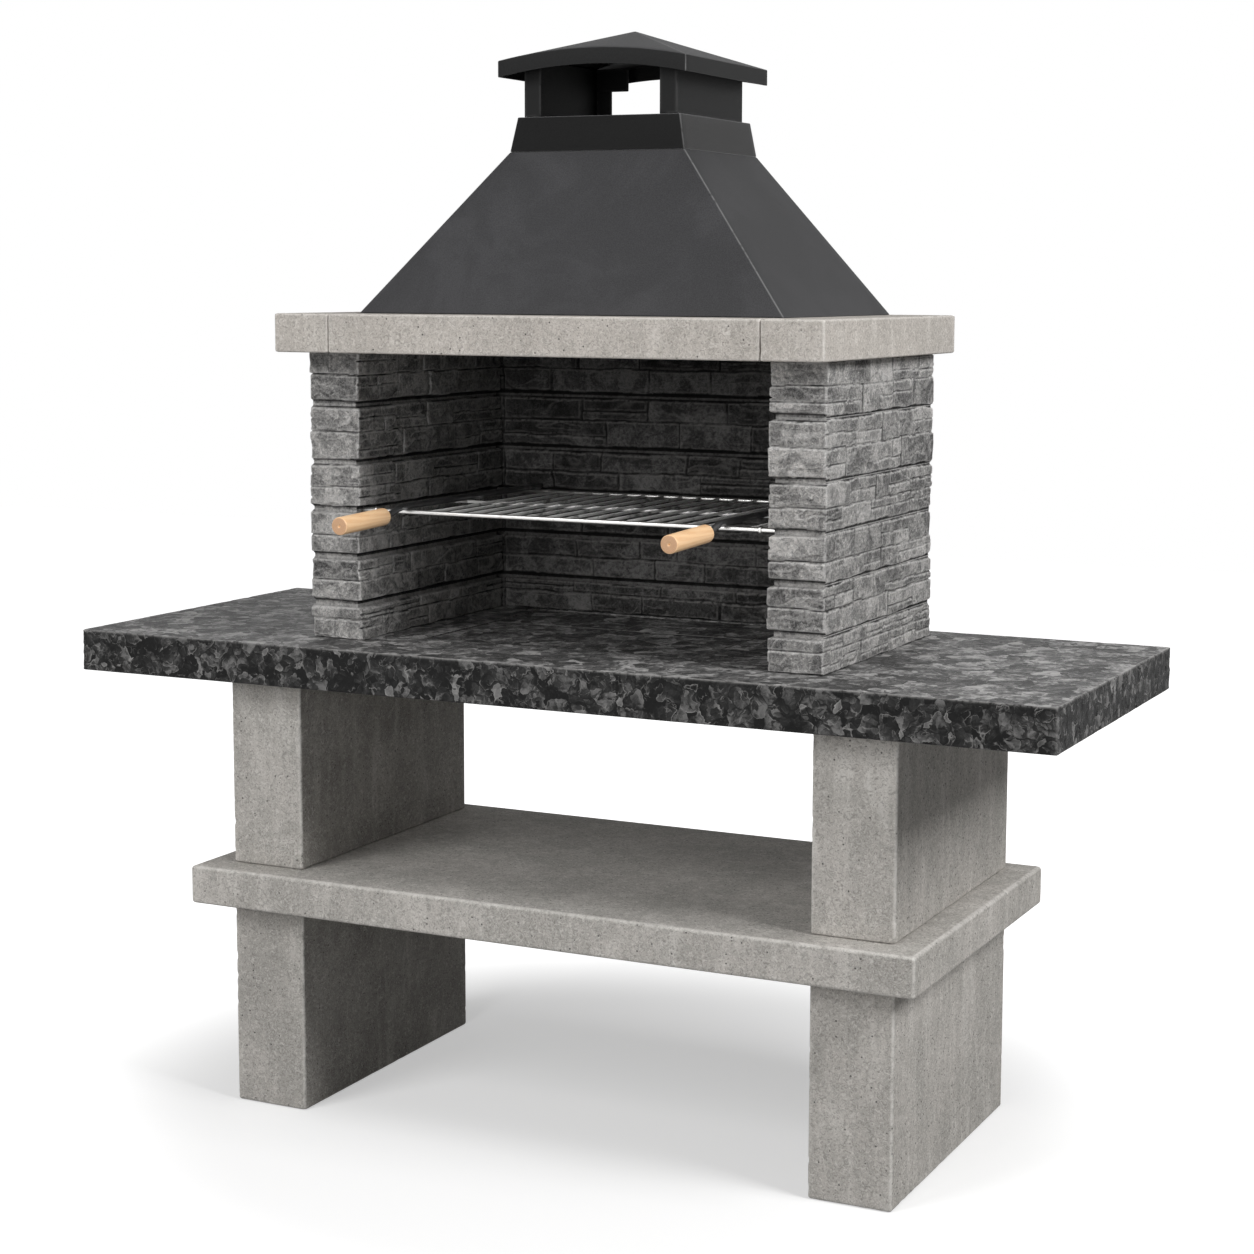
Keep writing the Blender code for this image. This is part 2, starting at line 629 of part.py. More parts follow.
def build_chimney(materials):
    """Two folded sides that stand on the collar, and the plates behind their back posts."""
    paint = materials["hood_paint"]
    outer = CHIMNEY_WIDTH / 2
    web = outer - SHEET
    edge = outer - CHIMNEY_POST_WIDTH
    front = CHIMNEY_FRONT_Y
    back = CHIMNEY_BACK_Y
    plate_back = back - SHEET - SEAT_GAP
    for side, name in ((-1, "left"), (1, "right")):
        outline = [(outer, front), (outer, back), (edge, back), (edge, back - SHEET),
                   (web, back - SHEET), (web, front + SHEET), (edge, front + SHEET), (edge, front)]
        prism(f"chimney_side_{name}", [(side * x, y) for x, y in outline], CHIMNEY_Z, panel_top(), paint)
        near = side * (edge - CAP_BRACKET_REACH)
        far = side * (web - SEAT_GAP)
        slab(f"cap_bracket_{name}", (min(near, far), max(near, far), plate_back - SHEET, plate_back),
             FASCIA_Z - CAP_BRACKET_DROP, panel_top(), materials["dark_steel"])


def cap_ring(half_width, half_depth, height):
    """The corners and arch points of one ring of the cap, anticlockwise from the front
    left. The front and back runs rise as a parabola, the side runs stay level."""
    ring = []
    for direction in (1, -1):
        for step in range(CAP_ARCH_STEPS + 1):
            across = direction * (2 * step / CAP_ARCH_STEPS - 1)
            ring.append((half_width * across, CAP_CENTRE_Y - direction * half_depth,
                         height + CAP_ARCH * (1 - across * across)))
    return ring


def build_cap(materials):
    """The low pyramid cap with its folded fascia, arched at the front and back."""
    inner_drop = roof_thickness() - roof_pitch() * SHEET
    half_width = CAP_WIDTH / 2
    half_depth = CAP_DEPTH / 2
    rings = [
        cap_ring(half_width, half_depth, EAVE_Z),
        cap_ring(half_width, half_depth, FASCIA_Z),
        cap_ring(half_width - SHEET, half_depth - SHEET, FASCIA_Z),
        cap_ring(half_width - SHEET, half_depth - SHEET, EAVE_Z - inner_drop),
    ]
    count = len(rings[0])
    points = [point for ring in rings for point in ring]
    points += [(0.0, CAP_CENTRE_Y, APEX_Z), (0.0, CAP_CENTRE_Y, APEX_Z - roof_thickness())]
    outer_apex = len(points) - 2
    inner_apex = len(points) - 1
    last = (len(rings) - 1) * count
    faces = []
    for first in range(count):
        second = (first + 1) % count
        for ring in range(len(rings) - 1):
            faces.append([ring * count + first, ring * count + second,
                          (ring + 1) * count + second, (ring + 1) * count + first])
        faces.append([first, second, outer_apex])
        faces.append([last + first, last + second, inner_apex])
    add_object("chimney_cap", mesh_of("chimney_cap", points, faces), materials["hood_paint"])


# Grid and handles

def grid_ledge():
    """The height of the ledge that the grid's bars slide on."""
    courses = GRID_LEVEL * COURSES_PER_BLOCK
    return WALL_Z + WALL_HEIGHT * sum(COURSE_SHARES[:courses]) - GRID_GROOVE_HEIGHT / 2


def bar_height():
    """The height of the front and back bars' middles."""
    return grid_ledge() + SEAT_GAP + GRID_BAR_DIAMETER / 2


def grid_positions():
    """The places across of the rods and of the two shafts among them."""
    half = FIREBOX_HALF - GRID_EDGE_MARGIN
    pitch = 2 * half / (GRID_POSITIONS - 1)
    return [index * pitch - half for index in range(GRID_POSITIONS)]


def build_rods(places, material):
    """The rods between the two bars, made one piece by the cross rod welded under them."""
    radius = GRID_ROD_DIAMETER / 2
    level = bar_height()
    reach = GRID_BAR_DIAMETER / 2 + SEAT_GAP
    rods = [dict(start=(x, GRID_FRONT_Y + reach, level), end=(x, GRID_BACK_Y - reach, level),
                 radius=radius) for x in places]
    cross_radius = GRID_CROSS_DIAMETER / 2
    cross_level = level - radius + WELD_DEPTH - cross_radius
    cross_y = GRID_FRONT_Y + GRID_CROSS_SHARE * (GRID_BACK_Y - GRID_FRONT_Y)
    cross_half = FIREBOX_HALF - GRID_CROSS_MARGIN
    cross = [dict(start=(-cross_half, cross_y, cross_level), end=(cross_half, cross_y, cross_level),
                  radius=cross_radius)]
    welded = tube_group("grid_rods", cross, material, ROD_SIDES)
    rod_set = tube_group("rod_set", rods, material, ROD_SIDES)
    rod_set.hide_render = True
    rod_set.display_type = "WIRE"
    weld = welded.modifiers.new("weld", "BOOLEAN")
    weld.operation = "UNION"
    weld.solver = "EXACT"
    weld.object = rod_set
    return welded


def build_grid(materials, slide):
    """The grid: two bars whose ends ride in the walls' grooves, the rods between them, and
    the two handles, whose shafts lie across both bars."""
    bright = materials["bright_steel"]
    level = bar_height()
    half = FIREBOX_HALF + GRID_BAR_BEARING
    pieces = []
    for name, y in (("front", GRID_FRONT_Y), ("back", GRID_BACK_Y)):
        bar = [dict(start=(-half, y, level), end=(half, y, level), radius=GRID_BAR_DIAMETER / 2)]
        pieces.append(tube_group(f"grid_{name}_bar", bar, bright, BAR_SIDES))

    places = grid_positions()
    shafts = (GRID_SHAFT_POSITION, len(places) - 1 - GRID_SHAFT_POSITION)
    pieces.append(build_rods([x for index, x in enumerate(places) if index not in shafts], bright))

    ring_middle = FIREBOX_HALF - COLLAR_RING_FROM_WALL
    for side, name in ((-1, "left"), (1, "right")):
        ring = [dict(start=(side * ring_middle - COLLAR_RING_WIDTH / 2, GRID_FRONT_Y, level),
                     end=(side * ring_middle + COLLAR_RING_WIDTH / 2, GRID_FRONT_Y, level),
                     radius=COLLAR_RING_DIAMETER / 2, bore=GRID_BAR_DIAMETER / 2 + SEAT_GAP)]
        pieces.append(tube_group(f"grid_ring_{name}", ring, bright, BAR_SIDES))

    for index, name in zip(shafts, ("left", "right")):
        pieces.append(build_shaft(name, places[index], materials["dark_steel"]))
        pieces.append(build_handle(name, places[index], materials["beech"]))
    for piece in pieces:
        move_origin(piece, slide.location)
        piece.parent = slide
        piece.location = (0.0, 0.0, 0.0)


def shaft_height():
    """The height of a shaft's middle where it lies on the bars."""
    return bar_height() + GRID_BAR_DIAMETER / 2 + SEAT_GAP + SHAFT_DIAMETER / 2


def shaft_route():
    """A shaft's middle line as depth and height: level over the grid, a smooth bend down
    in front of the bar, then straight into the wood along the handle's slope."""
    over_bar = shaft_height()
    wood_y = GRID_FRONT_Y - SHAFT_REACH
    wood_z = over_bar - SHAFT_DROP
    route = [(GRID_BACK_Y + GRID_SHAFT_OVERHANG, over_bar)]
    start = GRID_FRONT_Y - SHAFT_DROP_START
    for step in range(SHAFT_DROP_STEPS + 1):
        along = step / SHAFT_DROP_STEPS
        y = start + (wood_y - start) * along
        sloped = wood_z + (y - wood_y) * math.tan(HANDLE_DROOP)
        blend = (1 - math.cos(math.pi * along)) / 2
        route.append((y, over_bar + (sloped - over_bar) * blend))
    route.append((wood_y - SHAFT_TANG * math.cos(HANDLE_DROOP),
                  wood_z - SHAFT_TANG * math.sin(HANDLE_DROOP)))
    return route


def build_shaft(name, x, material):
    """A round bar along the shaft's route, each ring of it square to the route."""
    route = shaft_route()
    radius = SHAFT_DIAMETER / 2
    points = []
    for index, (y, z) in enumerate(route):
        before = Vector(route[max(index - 1, 0)])
        after = Vector(route[min(index + 1, len(route) - 1)])
        heading = (after - before).normalized()
        for side in range(BAR_SIDES):
            angle = 2 * math.pi * side / BAR_SIDES
            rise = radius * math.sin(angle)
            points.append((x + radius * math.cos(angle), y - rise * heading.y, z + rise * heading.x))
    faces = [list(range(BAR_SIDES)), list(range(len(points) - BAR_SIDES, len(points)))]
    for ring in range(len(route) - 1):
        for side in range(BAR_SIDES):
            neighbour = (side + 1) % BAR_SIDES
            faces.append([ring * BAR_SIDES + side, ring * BAR_SIDES + neighbour,
                          (ring + 1) * BAR_SIDES + neighbour, (ring + 1) * BAR_SIDES + side])
    title = f"handle_shaft_{name}"
    return add_object(title, mesh_of(title, points, faces), material, smooth=True)


def handle_profile():
    """The turned handle as radius and distance from its back end, bore included."""
    radius = HANDLE_DIAMETER / 2
    bore = SHAFT_DIAMETER / 2 + SEAT_GAP
    bore_end = SHAFT_TANG + SEAT_GAP
    profile = [(bore, 0.0)]
    for step in range(HANDLE_ROUND_STEPS + 1):
        angle = math.pi / 2 * step / HANDLE_ROUND_STEPS
        profile.append((radius - HANDLE_BACK_ROUND * (1 - math.sin(angle)),
                        HANDLE_BACK_ROUND * (1 - math.cos(angle))))
    profile += [
        (radius, HANDLE_LENGTH - HANDLE_FRONT_CHAMFER),
        (radius - HANDLE_FRONT_CHAMFER, HANDLE_LENGTH),
        (HANDLE_END_HOLE / 2, HANDLE_LENGTH),
        (HANDLE_END_HOLE / 2, bore_end),
        (bore, bore_end),
    ]
    return profile


def build_handle(name, x, material):
    """A turned wooden grip, bored for the shaft's tang, with a small hole in its end."""
    wood_y = GRID_FRONT_Y - SHAFT_REACH
    wood_z = shaft_height() - SHAFT_DROP
    profile = handle_profile()
    points = []
    for radius, distance in profile:
        for side in range(ROUND_SIDES):
            angle = 2 * math.pi * side / ROUND_SIDES
            rise = radius * math.sin(angle)
            points.append((x + radius * math.cos(angle),
                           wood_y - distance * math.cos(HANDLE_DROOP) - rise * math.sin(HANDLE_DROOP),
                           wood_z - distance * math.sin(HANDLE_DROOP) + rise * math.cos(HANDLE_DROOP)))
    faces = []
    for ring in range(len(profile)):
        following = (ring + 1) % len(profile)
        for side in range(ROUND_SIDES):
            neighbour = (side + 1) % ROUND_SIDES
            faces.append([ring * ROUND_SIDES + side, ring * ROUND_SIDES + neighbour,
                          following * ROUND_SIDES + neighbour, following * ROUND_SIDES + side])
    title = f"handle_{name}"
    return add_object(title, mesh_of(title, points, faces), material, smooth=True)


def main():
    """Build every piece; the grid's pieces hang from an empty on their slide."""
    clear_scene()
    materials = make_materials()
    build_stand(materials)
    build_worktop(materials)
    build_hearth(materials)
    build_walls(materials)
    build_lintel(materials)
    build_hood(materials)
    build_chimney(materials)
    build_cap(materials)
    slide = bpy.data.objects.new("grid_slide", None)
    bpy.context.scene.collection.objects.link(slide)
    slide.location = (0.0, GRID_FRONT_Y, bar_height())
    build_grid(materials, slide)


main()
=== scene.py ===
# %% [markdown]
# # An outdoor masonry barbecue
# Two pairs of cast concrete legs carry a shelf and a stone worktop. On the worktop stand
# three walls of split stone, a concrete lintel ring and a painted steel hood, and a steel
# grid with two wooden handles slides between the walls. The measured parts are loaded as a
# fixed frame. Each cell below makes one kind of piece from numbers, or one finish from
# shader nodes, and puts it exactly where its measured part is.

import json

import bpy
import numpy as np
from mathutils import Matrix, Vector

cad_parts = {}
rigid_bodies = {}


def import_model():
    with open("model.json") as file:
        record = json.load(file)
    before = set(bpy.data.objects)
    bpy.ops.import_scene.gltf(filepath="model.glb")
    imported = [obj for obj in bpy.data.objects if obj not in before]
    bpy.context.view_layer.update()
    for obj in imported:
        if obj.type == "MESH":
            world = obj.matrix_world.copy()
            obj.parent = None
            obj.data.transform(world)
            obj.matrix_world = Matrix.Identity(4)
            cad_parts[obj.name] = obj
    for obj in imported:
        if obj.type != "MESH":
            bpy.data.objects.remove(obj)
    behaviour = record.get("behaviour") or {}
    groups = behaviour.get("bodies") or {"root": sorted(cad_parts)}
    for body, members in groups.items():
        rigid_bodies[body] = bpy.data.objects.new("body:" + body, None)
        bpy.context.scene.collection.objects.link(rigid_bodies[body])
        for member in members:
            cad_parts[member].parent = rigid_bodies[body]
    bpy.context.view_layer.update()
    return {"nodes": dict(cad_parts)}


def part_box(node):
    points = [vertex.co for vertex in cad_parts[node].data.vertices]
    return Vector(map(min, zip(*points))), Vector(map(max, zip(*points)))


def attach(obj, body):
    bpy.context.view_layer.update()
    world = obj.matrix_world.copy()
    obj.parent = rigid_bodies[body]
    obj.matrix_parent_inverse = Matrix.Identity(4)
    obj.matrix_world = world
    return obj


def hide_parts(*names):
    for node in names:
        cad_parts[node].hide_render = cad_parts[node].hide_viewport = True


for leftover in list(bpy.data.objects):
    bpy.data.objects.remove(leftover)
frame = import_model()
nodes = frame["nodes"]

# %% [markdown]
# ## Random numbers that stay the same
# Broken stone needs randomness that is smooth in space and equal on every run. A table of
# stored numbers would work, and so would Blender's own noise, one point at a time. Here each
# whole-number cell of space gets its number by mixing its three indices, so that a million
# points are worked out at once.

# %% Smooth noise on arrays
def cell_values(cells, seed):
    """One number from -1 to 1 per cell: the three indices are each multiplied by a large odd
    number, combined bit by bit with the seed, and mixed twice."""
    large = np.array([73856093, 19349663, 83492791])
    products = cells * large
    mixed = products[..., 0] ^ products[..., 1] ^ products[..., 2] ^ (seed * 40503 + 977)
    mixed = (((mixed ^ (mixed >> 13)) & 0xFFFFFFFF) * 1274126177) & 0xFFFFFFFF
    mixed = (((mixed ^ (mixed >> 16)) & 0xFFFFFFFF) * 668265263) & 0xFFFFFFFF
    return (mixed ^ (mixed >> 15)) / 0x7FFFFFFF - 1.0


def noise(points, cell, seed):
    """Smooth values from -1 to 1: the eight corners of a point's cell, each weighted by how
    near it is, with 3t² - 2t³ as the weight along each axis."""
    scaled = points / cell
    whole = np.floor(scaled).astype(np.int64)
    part = scaled - whole
    part = part * part * (3 - 2 * part)
    total = np.zeros(points.shape[:-1])
    for corner in range(8):
        step = np.array([corner & 1, corner >> 1 & 1, corner >> 2 & 1])
        weight = np.prod(np.where(step, part, 1 - part), axis=-1)
        total += weight * cell_values(whole + step, seed)
    return total


def layered(points, cell, seed, layers=3):
    """Noise plus half as much at half the size, and so on, brought back to -1 to 1."""
    total = np.zeros(points.shape[:-1])
    for layer in range(layers):
        total += noise(points, np.asarray(cell) / 2 ** layer, seed + layer) / 2 ** layer
    return total / (2 - 2 ** (1 - layers))


def wandering(points, amount, cell, seed):
    """Points moved about by up to amount along each axis, by a noise of its own."""
    shift = np.stack([noise(points, cell, seed + axis) for axis in range(3)], axis=-1)
    return points + amount * shift


def bell(distance, width):
    """1 at distance nought, falling off on both sides: e to the power -(distance / width)²."""
    return np.exp(-(distance / width) ** 2)


def smooth(value):
    """0 below 0, 1 above 1, and 3t² - 2t³ between."""
    value = np.clip(value, 0.0, 1.0)
    return value * value * (3 - 2 * value)


sample = layered(np.random.default_rng(1).random((5000, 3)), 0.05, 7)
print("noise runs from", round(sample.min(), 2), "to", round(sample.max(), 2))

# %% [markdown]
# ## Meshes from arrays
# A surface here is a grid of points, rows by columns, that closes round on itself. Its
# four-sided faces come from index arithmetic, and flat caps close its ends. Each piece takes
# the body of the measured part that it stands for, and that part's name with _finished added.

# %% Mesh and piece helpers
def ring_quads(rows, columns, first=0):
    """The faces between neighbouring rows of a grid whose last column meets its first."""
    row, column = np.meshgrid(np.arange(rows - 1), np.arange(columns), indexing="ij")
    following = (column + 1) % columns
    corners = [row * columns + column, row * columns + following,
               (row + 1) * columns + following, (row + 1) * columns + column]
    return np.stack(corners, axis=-1).reshape(-1, 4) + first


def closing_quads(rows, columns):
    """The faces of a grid whose last row meets its first as well."""
    return ring_quads(rows + 1, columns) % (rows * columns)


def make_mesh(name, points, quads, caps=(), fields=None, sharp=False):
    """A mesh from points, four-sided faces and flat caps, with one number per point for each
    named field."""
    mesh = bpy.data.meshes.new(name)
    sizes = np.array([4] * len(quads) + [len(cap) for cap in caps])
    corners = np.concatenate([np.asarray(quads).ravel(), *caps]).astype(np.int32)
    starts = np.concatenate([[0], np.cumsum(sizes)[:-1]]).astype(np.int32)
    mesh.vertices.add(len(points))
    mesh.vertices.foreach_set("co", np.asarray(points, np.float32).ravel())
    mesh.loops.add(len(corners))
    mesh.polygons.add(len(sizes))
    mesh.polygons.foreach_set("loop_start", starts)
    mesh.loops.foreach_set("vertex_index", corners)
    mesh.update(calc_edges=True)
    mesh.polygons.foreach_set("use_smooth", np.full(len(sizes), not sharp))
    for field, values in (fields or {}).items():
        attribute = mesh.attributes.new(field, "FLOAT", "POINT")
        attribute.data.foreach_set("value", np.asarray(values, np.float32).ravel())
    return mesh


def show(name, data):
    """A new object in the scene, which holds a mesh, a lamp or a camera."""
    thing = bpy.data.objects.new(name, data)
    bpy.context.scene.collection.objects.link(thing)
    return thing


def place_piece(mesh, node, finish, body="masonry"):
    """Show a mesh instead of one measured part, on the body it is given, with the finish as its one
    material.
    """
    piece = show(node + "_finished", mesh)
    mesh.materials.append(finish)
    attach(piece, body)
    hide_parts(node)


def rectangle(node):
    """The corners of a measured part's plan, anticlockwise."""
    low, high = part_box(node)
    return [(low[0], low[1]), (high[0], low[1]), (high[0], high[1]), (low[0], high[1])]


print("plan of the shelf:", [(round(x, 3), round(y, 3)) for x, y in rectangle("shelf")])

# %% [markdown]
# ## Upright walls worked into relief
# Stones, legs, slabs and beams all have upright sides round a plan with square corners. One
# function makes them: it walks round the plan, and a relief function says how far each point
# is pushed in. At a corner, the two sides' depths are both taken, so that the solid stays
# closed however rough it is. The rough skin could also be a Displace modifier on a box, but
# that tears at the corners and can't follow each stone's own edges.

# %% Walk round a plan
def spread(length, edge_step, middle_step, edge_zone):
    """Places along a side: edge_step apart within edge_zone of both ends, and about
    middle_step apart between them."""
    zone = min(edge_zone, length / 2)
    near = np.linspace(0, zone, max(int(np.ceil(zone / edge_step)), 1) + 1)
    middle_count = max(int(np.ceil((length - 2 * zone) / middle_step)), 1)
    middle = np.linspace(zone, length - zone, middle_count + 1)
    places = np.concatenate([near, middle, length - near[::-1]])
    return np.unique(np.round(places, 7))


def rounding(distance, radius):
    """How far a round arris lies behind a sharp one: r - √(r² - (r - d)²) at distance d."""
    short = np.clip(radius - distance, 0.0, radius)
    return radius - np.sqrt(radius * radius - short * short)


SQUEEZE_ZONE = 0.030


def relief_sides(outline, heights, relief, steps, cap_insets=(0.003, 0.003)):
    """The upright sides round an outline, as rows by columns of points, with their fields.

    outline holds the corners, anticlockwise for a solid and clockwise for a hole. The point
    at place a and height h of a side is corner + a·along + depth(a, h)·inwards. Near a
    corner, a is shifted by the neighbouring side's depth there, and the shift fades out over
    SQUEEZE_ZONE. The first and last rows are level rings, cap_insets further in, which hold
    the arris round where the flat cap begins, and where every field is nought.
    """
    corners = np.array(outline, float)
    towards = np.roll(corners, -1, axis=0) - corners
    lengths = np.linalg.norm(towards, axis=1)
    along = towards / lengths[:, None]
    inwards = np.stack([-along[:, 1], along[:, 0]], axis=1)
    count = len(corners)
    heights = np.concatenate([[heights[0]], heights, [heights[-1]]])
    extra = np.zeros(len(heights))
    extra[0], extra[-1] = cap_insets
    sides = []
    for side in range(count):
        places = spread(lengths[side], *steps)
        place, height = np.meshgrid(places, heights)
        flat = corners[side] + along[side] * place[..., None]
        points = np.concatenate([flat, height[..., None]], axis=-1)
        depth, fields = relief(side, place, height, lengths[side], points)
        for values in fields.values():
            values[[0, -1]] = 0.0
        sides.append((place, depth + extra[:, None], fields))
    grids = []
    names = list(sides[0][2])
    columns = {name: [] for name in names}
    for side in range(count):
        place, depth, fields = sides[side]
        zone = min(SQUEEZE_ZONE, lengths[side] / 2)
        before = sides[side - 1][1][:, -1:] * (inwards[side - 1] @ along[side])
        after = sides[(side + 1) % count][1][:, :1] * (inwards[(side + 1) % count] @ along[side])
        shifted = (place + before * np.clip(1 - place / zone, 0, 1)
                   + after * np.clip(1 - (lengths[side] - place) / zone, 0, 1))
        flat = (corners[side] + along[side] * shifted[..., None] + inwards[side] * depth[..., None])
        upright = np.broadcast_to(heights[:, None, None], (*place.shape, 1))
        grids.append(np.concatenate([flat, upright], axis=-1)[:, :-1])
        for name in names:
            columns[name].append(fields[name][:, :-1])
    fields = {name: np.concatenate(columns[name], axis=1) for name in names}
    return np.concatenate(grids, axis=1), fields


def curvature(depth):
    """How far each point stands out from the mean of its eight neighbours, in metres."""
    padded = np.pad(depth, 1, mode="edge")
    total = np.zeros_like(depth)
    for row in range(3):
        for column in range(3):
            total += padded[row:row + depth.shape[0], column:column + depth.shape[1]]
    return (total - depth) / 8 - depth


def closed_mesh(name, grid, fields):
    """The sides with a flat cap below and one above."""
    rows, columns = grid.shape[:2]
    below = np.arange(columns)[::-1]
    above = np.arange(columns) + (rows - 1) * columns
    return make_mesh(name, grid.reshape(-1, 3), ring_quads(rows, columns), (below, above), fields)


arris_depth = float(rounding(0.001, 0.005))
print("round arris of 5 mm, 1 mm from its corner:", round(arris_depth * 1000, 2), "mm")

# %% [markdown]
# ## Shader building blocks
# Every finish below mixes the same few effects: clouds of colour, fine grain, small pits,
# wandering hairlines, curled grain, broken flakes, worn edges and soot. Each is built once as
# a node group with named inputs and outputs, and gives only masks and heights. The surface
# shader stays in each material.

# %% Node helpers
def add_node(tree, kind, inputs=None, **settings):
    """A shader node with its settings. An input is a value, or another node's output to link."""
    node = tree.nodes.new("ShaderNode" + kind)
    for setting, value in settings.items():
        setattr(node, setting, value)
    for socket, value in (inputs or {}).items():
        if isinstance(value, bpy.types.NodeSocket):
            tree.links.new(value, node.inputs[socket])
        else:
            node.inputs[socket].default_value = value
    return node


def maths(tree, operation, first, second=0.0, clamp=False):
    """A Math node's result."""
    return add_node(tree, "Math", {0: first, 1: second}, operation=operation,
                    use_clamp=clamp).outputs[0]


def times(tree, first, second, clamp=False):
    """A product, held between 0 and 1 where it is clamped."""
    return maths(tree, "MULTIPLY", first, second, clamp)


def added(tree, *terms):
    """A sum. Each term is a value, or a pair of a value and its weight."""
    values = [times(tree, *term) if isinstance(term, tuple) else term for term in terms]
    result = values[0]
    for value in values[1:]:
        result = maths(tree, "ADD", result, value)
    return result


def vectors(tree, operation, first, second):
    """A Vector Math node's result: a number for a dot product, and otherwise a vector."""
    second_socket = "Scale" if operation == "SCALE" else 1
    node = add_node(tree, "VectorMath", {0: first, second_socket: second}, operation=operation)
    return node.outputs["Value" if operation == "DOT_PRODUCT" else "Vector"]


def remap(tree, value, low, high, new_low=0.0, new_high=1.0):
    """A value carried smoothly from one range to another, and held at its ends."""
    return add_node(tree, "MapRange", {"Value": value, 1: low, 2: high, 3: new_low, 4: new_high},
                    interpolation_type="SMOOTHSTEP").outputs["Result"]


def mix(tree, factor, first, second):
    """Two colours mixed by a factor."""
    return add_node(tree, "Mix", {0: factor, 6: first, 7: second}, data_type="RGBA").outputs[2]


def overlay(tree, colour, mask, share, other, clamp=False):
    """A colour with another laid over it, by a mask times a share."""
    return mix(tree, times(tree, mask, share, clamp), colour, other)


def grey(value, warmth=0.0):
    """A grey of a given reflectance, a little warmer or cooler than neutral."""
    return (value * (1 + warmth), value, value * (1 - warmth), 1.0)


def darker(colour, share):
    """A colour at a share of its brightness."""
    return tuple(channel * share for channel in colour[:3]) + (1.0,)


def noise_at(tree, vector, scale, detail=3.0, roughness=0.55, distortion=0.0):
    """Shader noise from 0 to 1 at a scale in cells per metre."""
    return add_node(tree, "TexNoise", {"Vector": vector, "Scale": scale, "Detail": detail,
                                       "Roughness": roughness, "Distortion": distortion}).outputs[0]


def axis_of(tree, vector, axis):
    """One axis of a vector."""
    return add_node(tree, "SeparateXYZ", {0: vector}).outputs[axis]


def facing(tree, axis):
    """How far the surface faces along an axis, from -1 to 1."""
    return axis_of(tree, add_node(tree, "NewGeometry").outputs["Normal"], axis)


def stretched(tree, vector, scale):
    """Coordinates scaled along each axis, so that a pattern is drawn out where it is below 1."""
    return add_node(tree, "Mapping", {"Vector": vector, "Scale": scale}).outputs[0]


def start_group(name, results, **numbers):
    """An empty node group that is given a place and some numbers: its tree, the sockets of
    what it is given, and the sockets that its results go into."""
    tree = bpy.data.node_groups.new(name, "ShaderNodeTree")
    tree.interface.new_socket("Vector", in_out="INPUT", socket_type="NodeSocketVector")
    for socket, default in numbers.items():
        number = tree.interface.new_socket(socket, in_out="INPUT", socket_type="NodeSocketFloat")
        number.default_value = default
    for socket in results:
        tree.interface.new_socket(socket, in_out="OUTPUT", socket_type="NodeSocketFloat")
    given, result = tree.nodes.new("NodeGroupInput"), tree.nodes.new("NodeGroupOutput")
    return tree, given.outputs, result.inputs


print("a warm grey:", grey(0.5, 0.02), "and darker:", darker(grey(0.5, 0.02), 0.5))

# %% The effects as node groups
grain_group, given, result = start_group("fine_grain", ["Speckle", "Height"], Scale=600.0)
coarse = noise_at(grain_group, given["Vector"], given["Scale"], 4.0, 0.7)
grain_group.links.new(remap(grain_group, coarse, 0.34, 0.66), result["Speckle"])
grain_group.links.new(coarse, result["Height"])

pit_group, given, result = start_group("small_pits", ["Mask"], Scale=90.0, Share=0.3)
dots = add_node(pit_group, "TexVoronoi", {"Vector": given["Vector"], "Scale": given["Scale"]})
chosen = add_node(pit_group, "SeparateColor", {"Color": dots.outputs["Color"]}).outputs[0]
is_pit = maths(pit_group, "LESS_THAN", chosen, given["Share"])
hollow = remap(pit_group, dots.outputs["Distance"], 0.10, 0.24, 1.0, 0.0)
pit_group.links.new(times(pit_group, is_pit, hollow), result["Mask"])

hairline_group, given, result = start_group("hairlines", ["Mask"], Scale=12.0, Width=0.012)
wander = noise_at(hairline_group, given["Vector"], given["Scale"], 3.0, 0.5, 1.6)
off_line = maths(hairline_group, "ABSOLUTE", maths(hairline_group, "SUBTRACT", wander, 0.5))
off_line = maths(hairline_group, "DIVIDE", off_line, given["Width"])
line = remap(hairline_group, off_line, 0.0, 1.0, 1.0, 0.0)
patches = remap(hairline_group, noise_at(hairline_group, given["Vector"], 9.0, 2.0), 0.50, 0.62)
hairline_group.links.new(times(hairline_group, line, patches), result["Mask"])

# The edge mask paints arrises paler, partly as wear and partly as a painted highlight.
edge_group, given, result = start_group("worn_and_highlit_edge", ["Mask"], Edge=0.0, Scale=130.0)
broken = remap(edge_group, noise_at(edge_group, given["Vector"], given["Scale"]), 0.26, 0.56)
edge_group.links.new(times(edge_group, given["Edge"], broken, clamp=True), result["Mask"])

# A flake is a cell round a scattered point, in coordinates that noise has bent. Its slope is
# how far a spot lies from that point along the flake's own lean. The slope in the tone is
# painted shading of the tilted flake, the rim on its raised side is a painted highlight, and
# the gap on its low side is painted shade.
HALF = (0.5, 0.5, 0.5)
flake_group, given, result = start_group("chipped_flakes", ["Tone", "Rim", "GapShade", "Height"], Scale=40.0)
tree, spot = flake_group, given["Vector"]
drift = add_node(tree, "TexNoise", {"Vector": spot, "Scale": 34.0, "Detail": 3.0}).outputs["Color"]
drift = vectors(tree, "SCALE", vectors(tree, "SUBTRACT", drift, HALF), 0.034)
bent = vectors(tree, "ADD", spot, drift)
scaled = vectors(tree, "SCALE", bent, given["Scale"])
cell = add_node(tree, "TexVoronoi", {"Vector": scaled, "Scale": 1.0})
away = vectors(tree, "SUBTRACT", scaled, cell.outputs["Position"])
lean = vectors(tree, "SUBTRACT", cell.outputs["Color"], HALF)
slope = vectors(tree, "DOT_PRODUCT", away, lean)
own = add_node(tree, "SeparateColor", {"Color": cell.outputs["Color"]}).outputs[1]
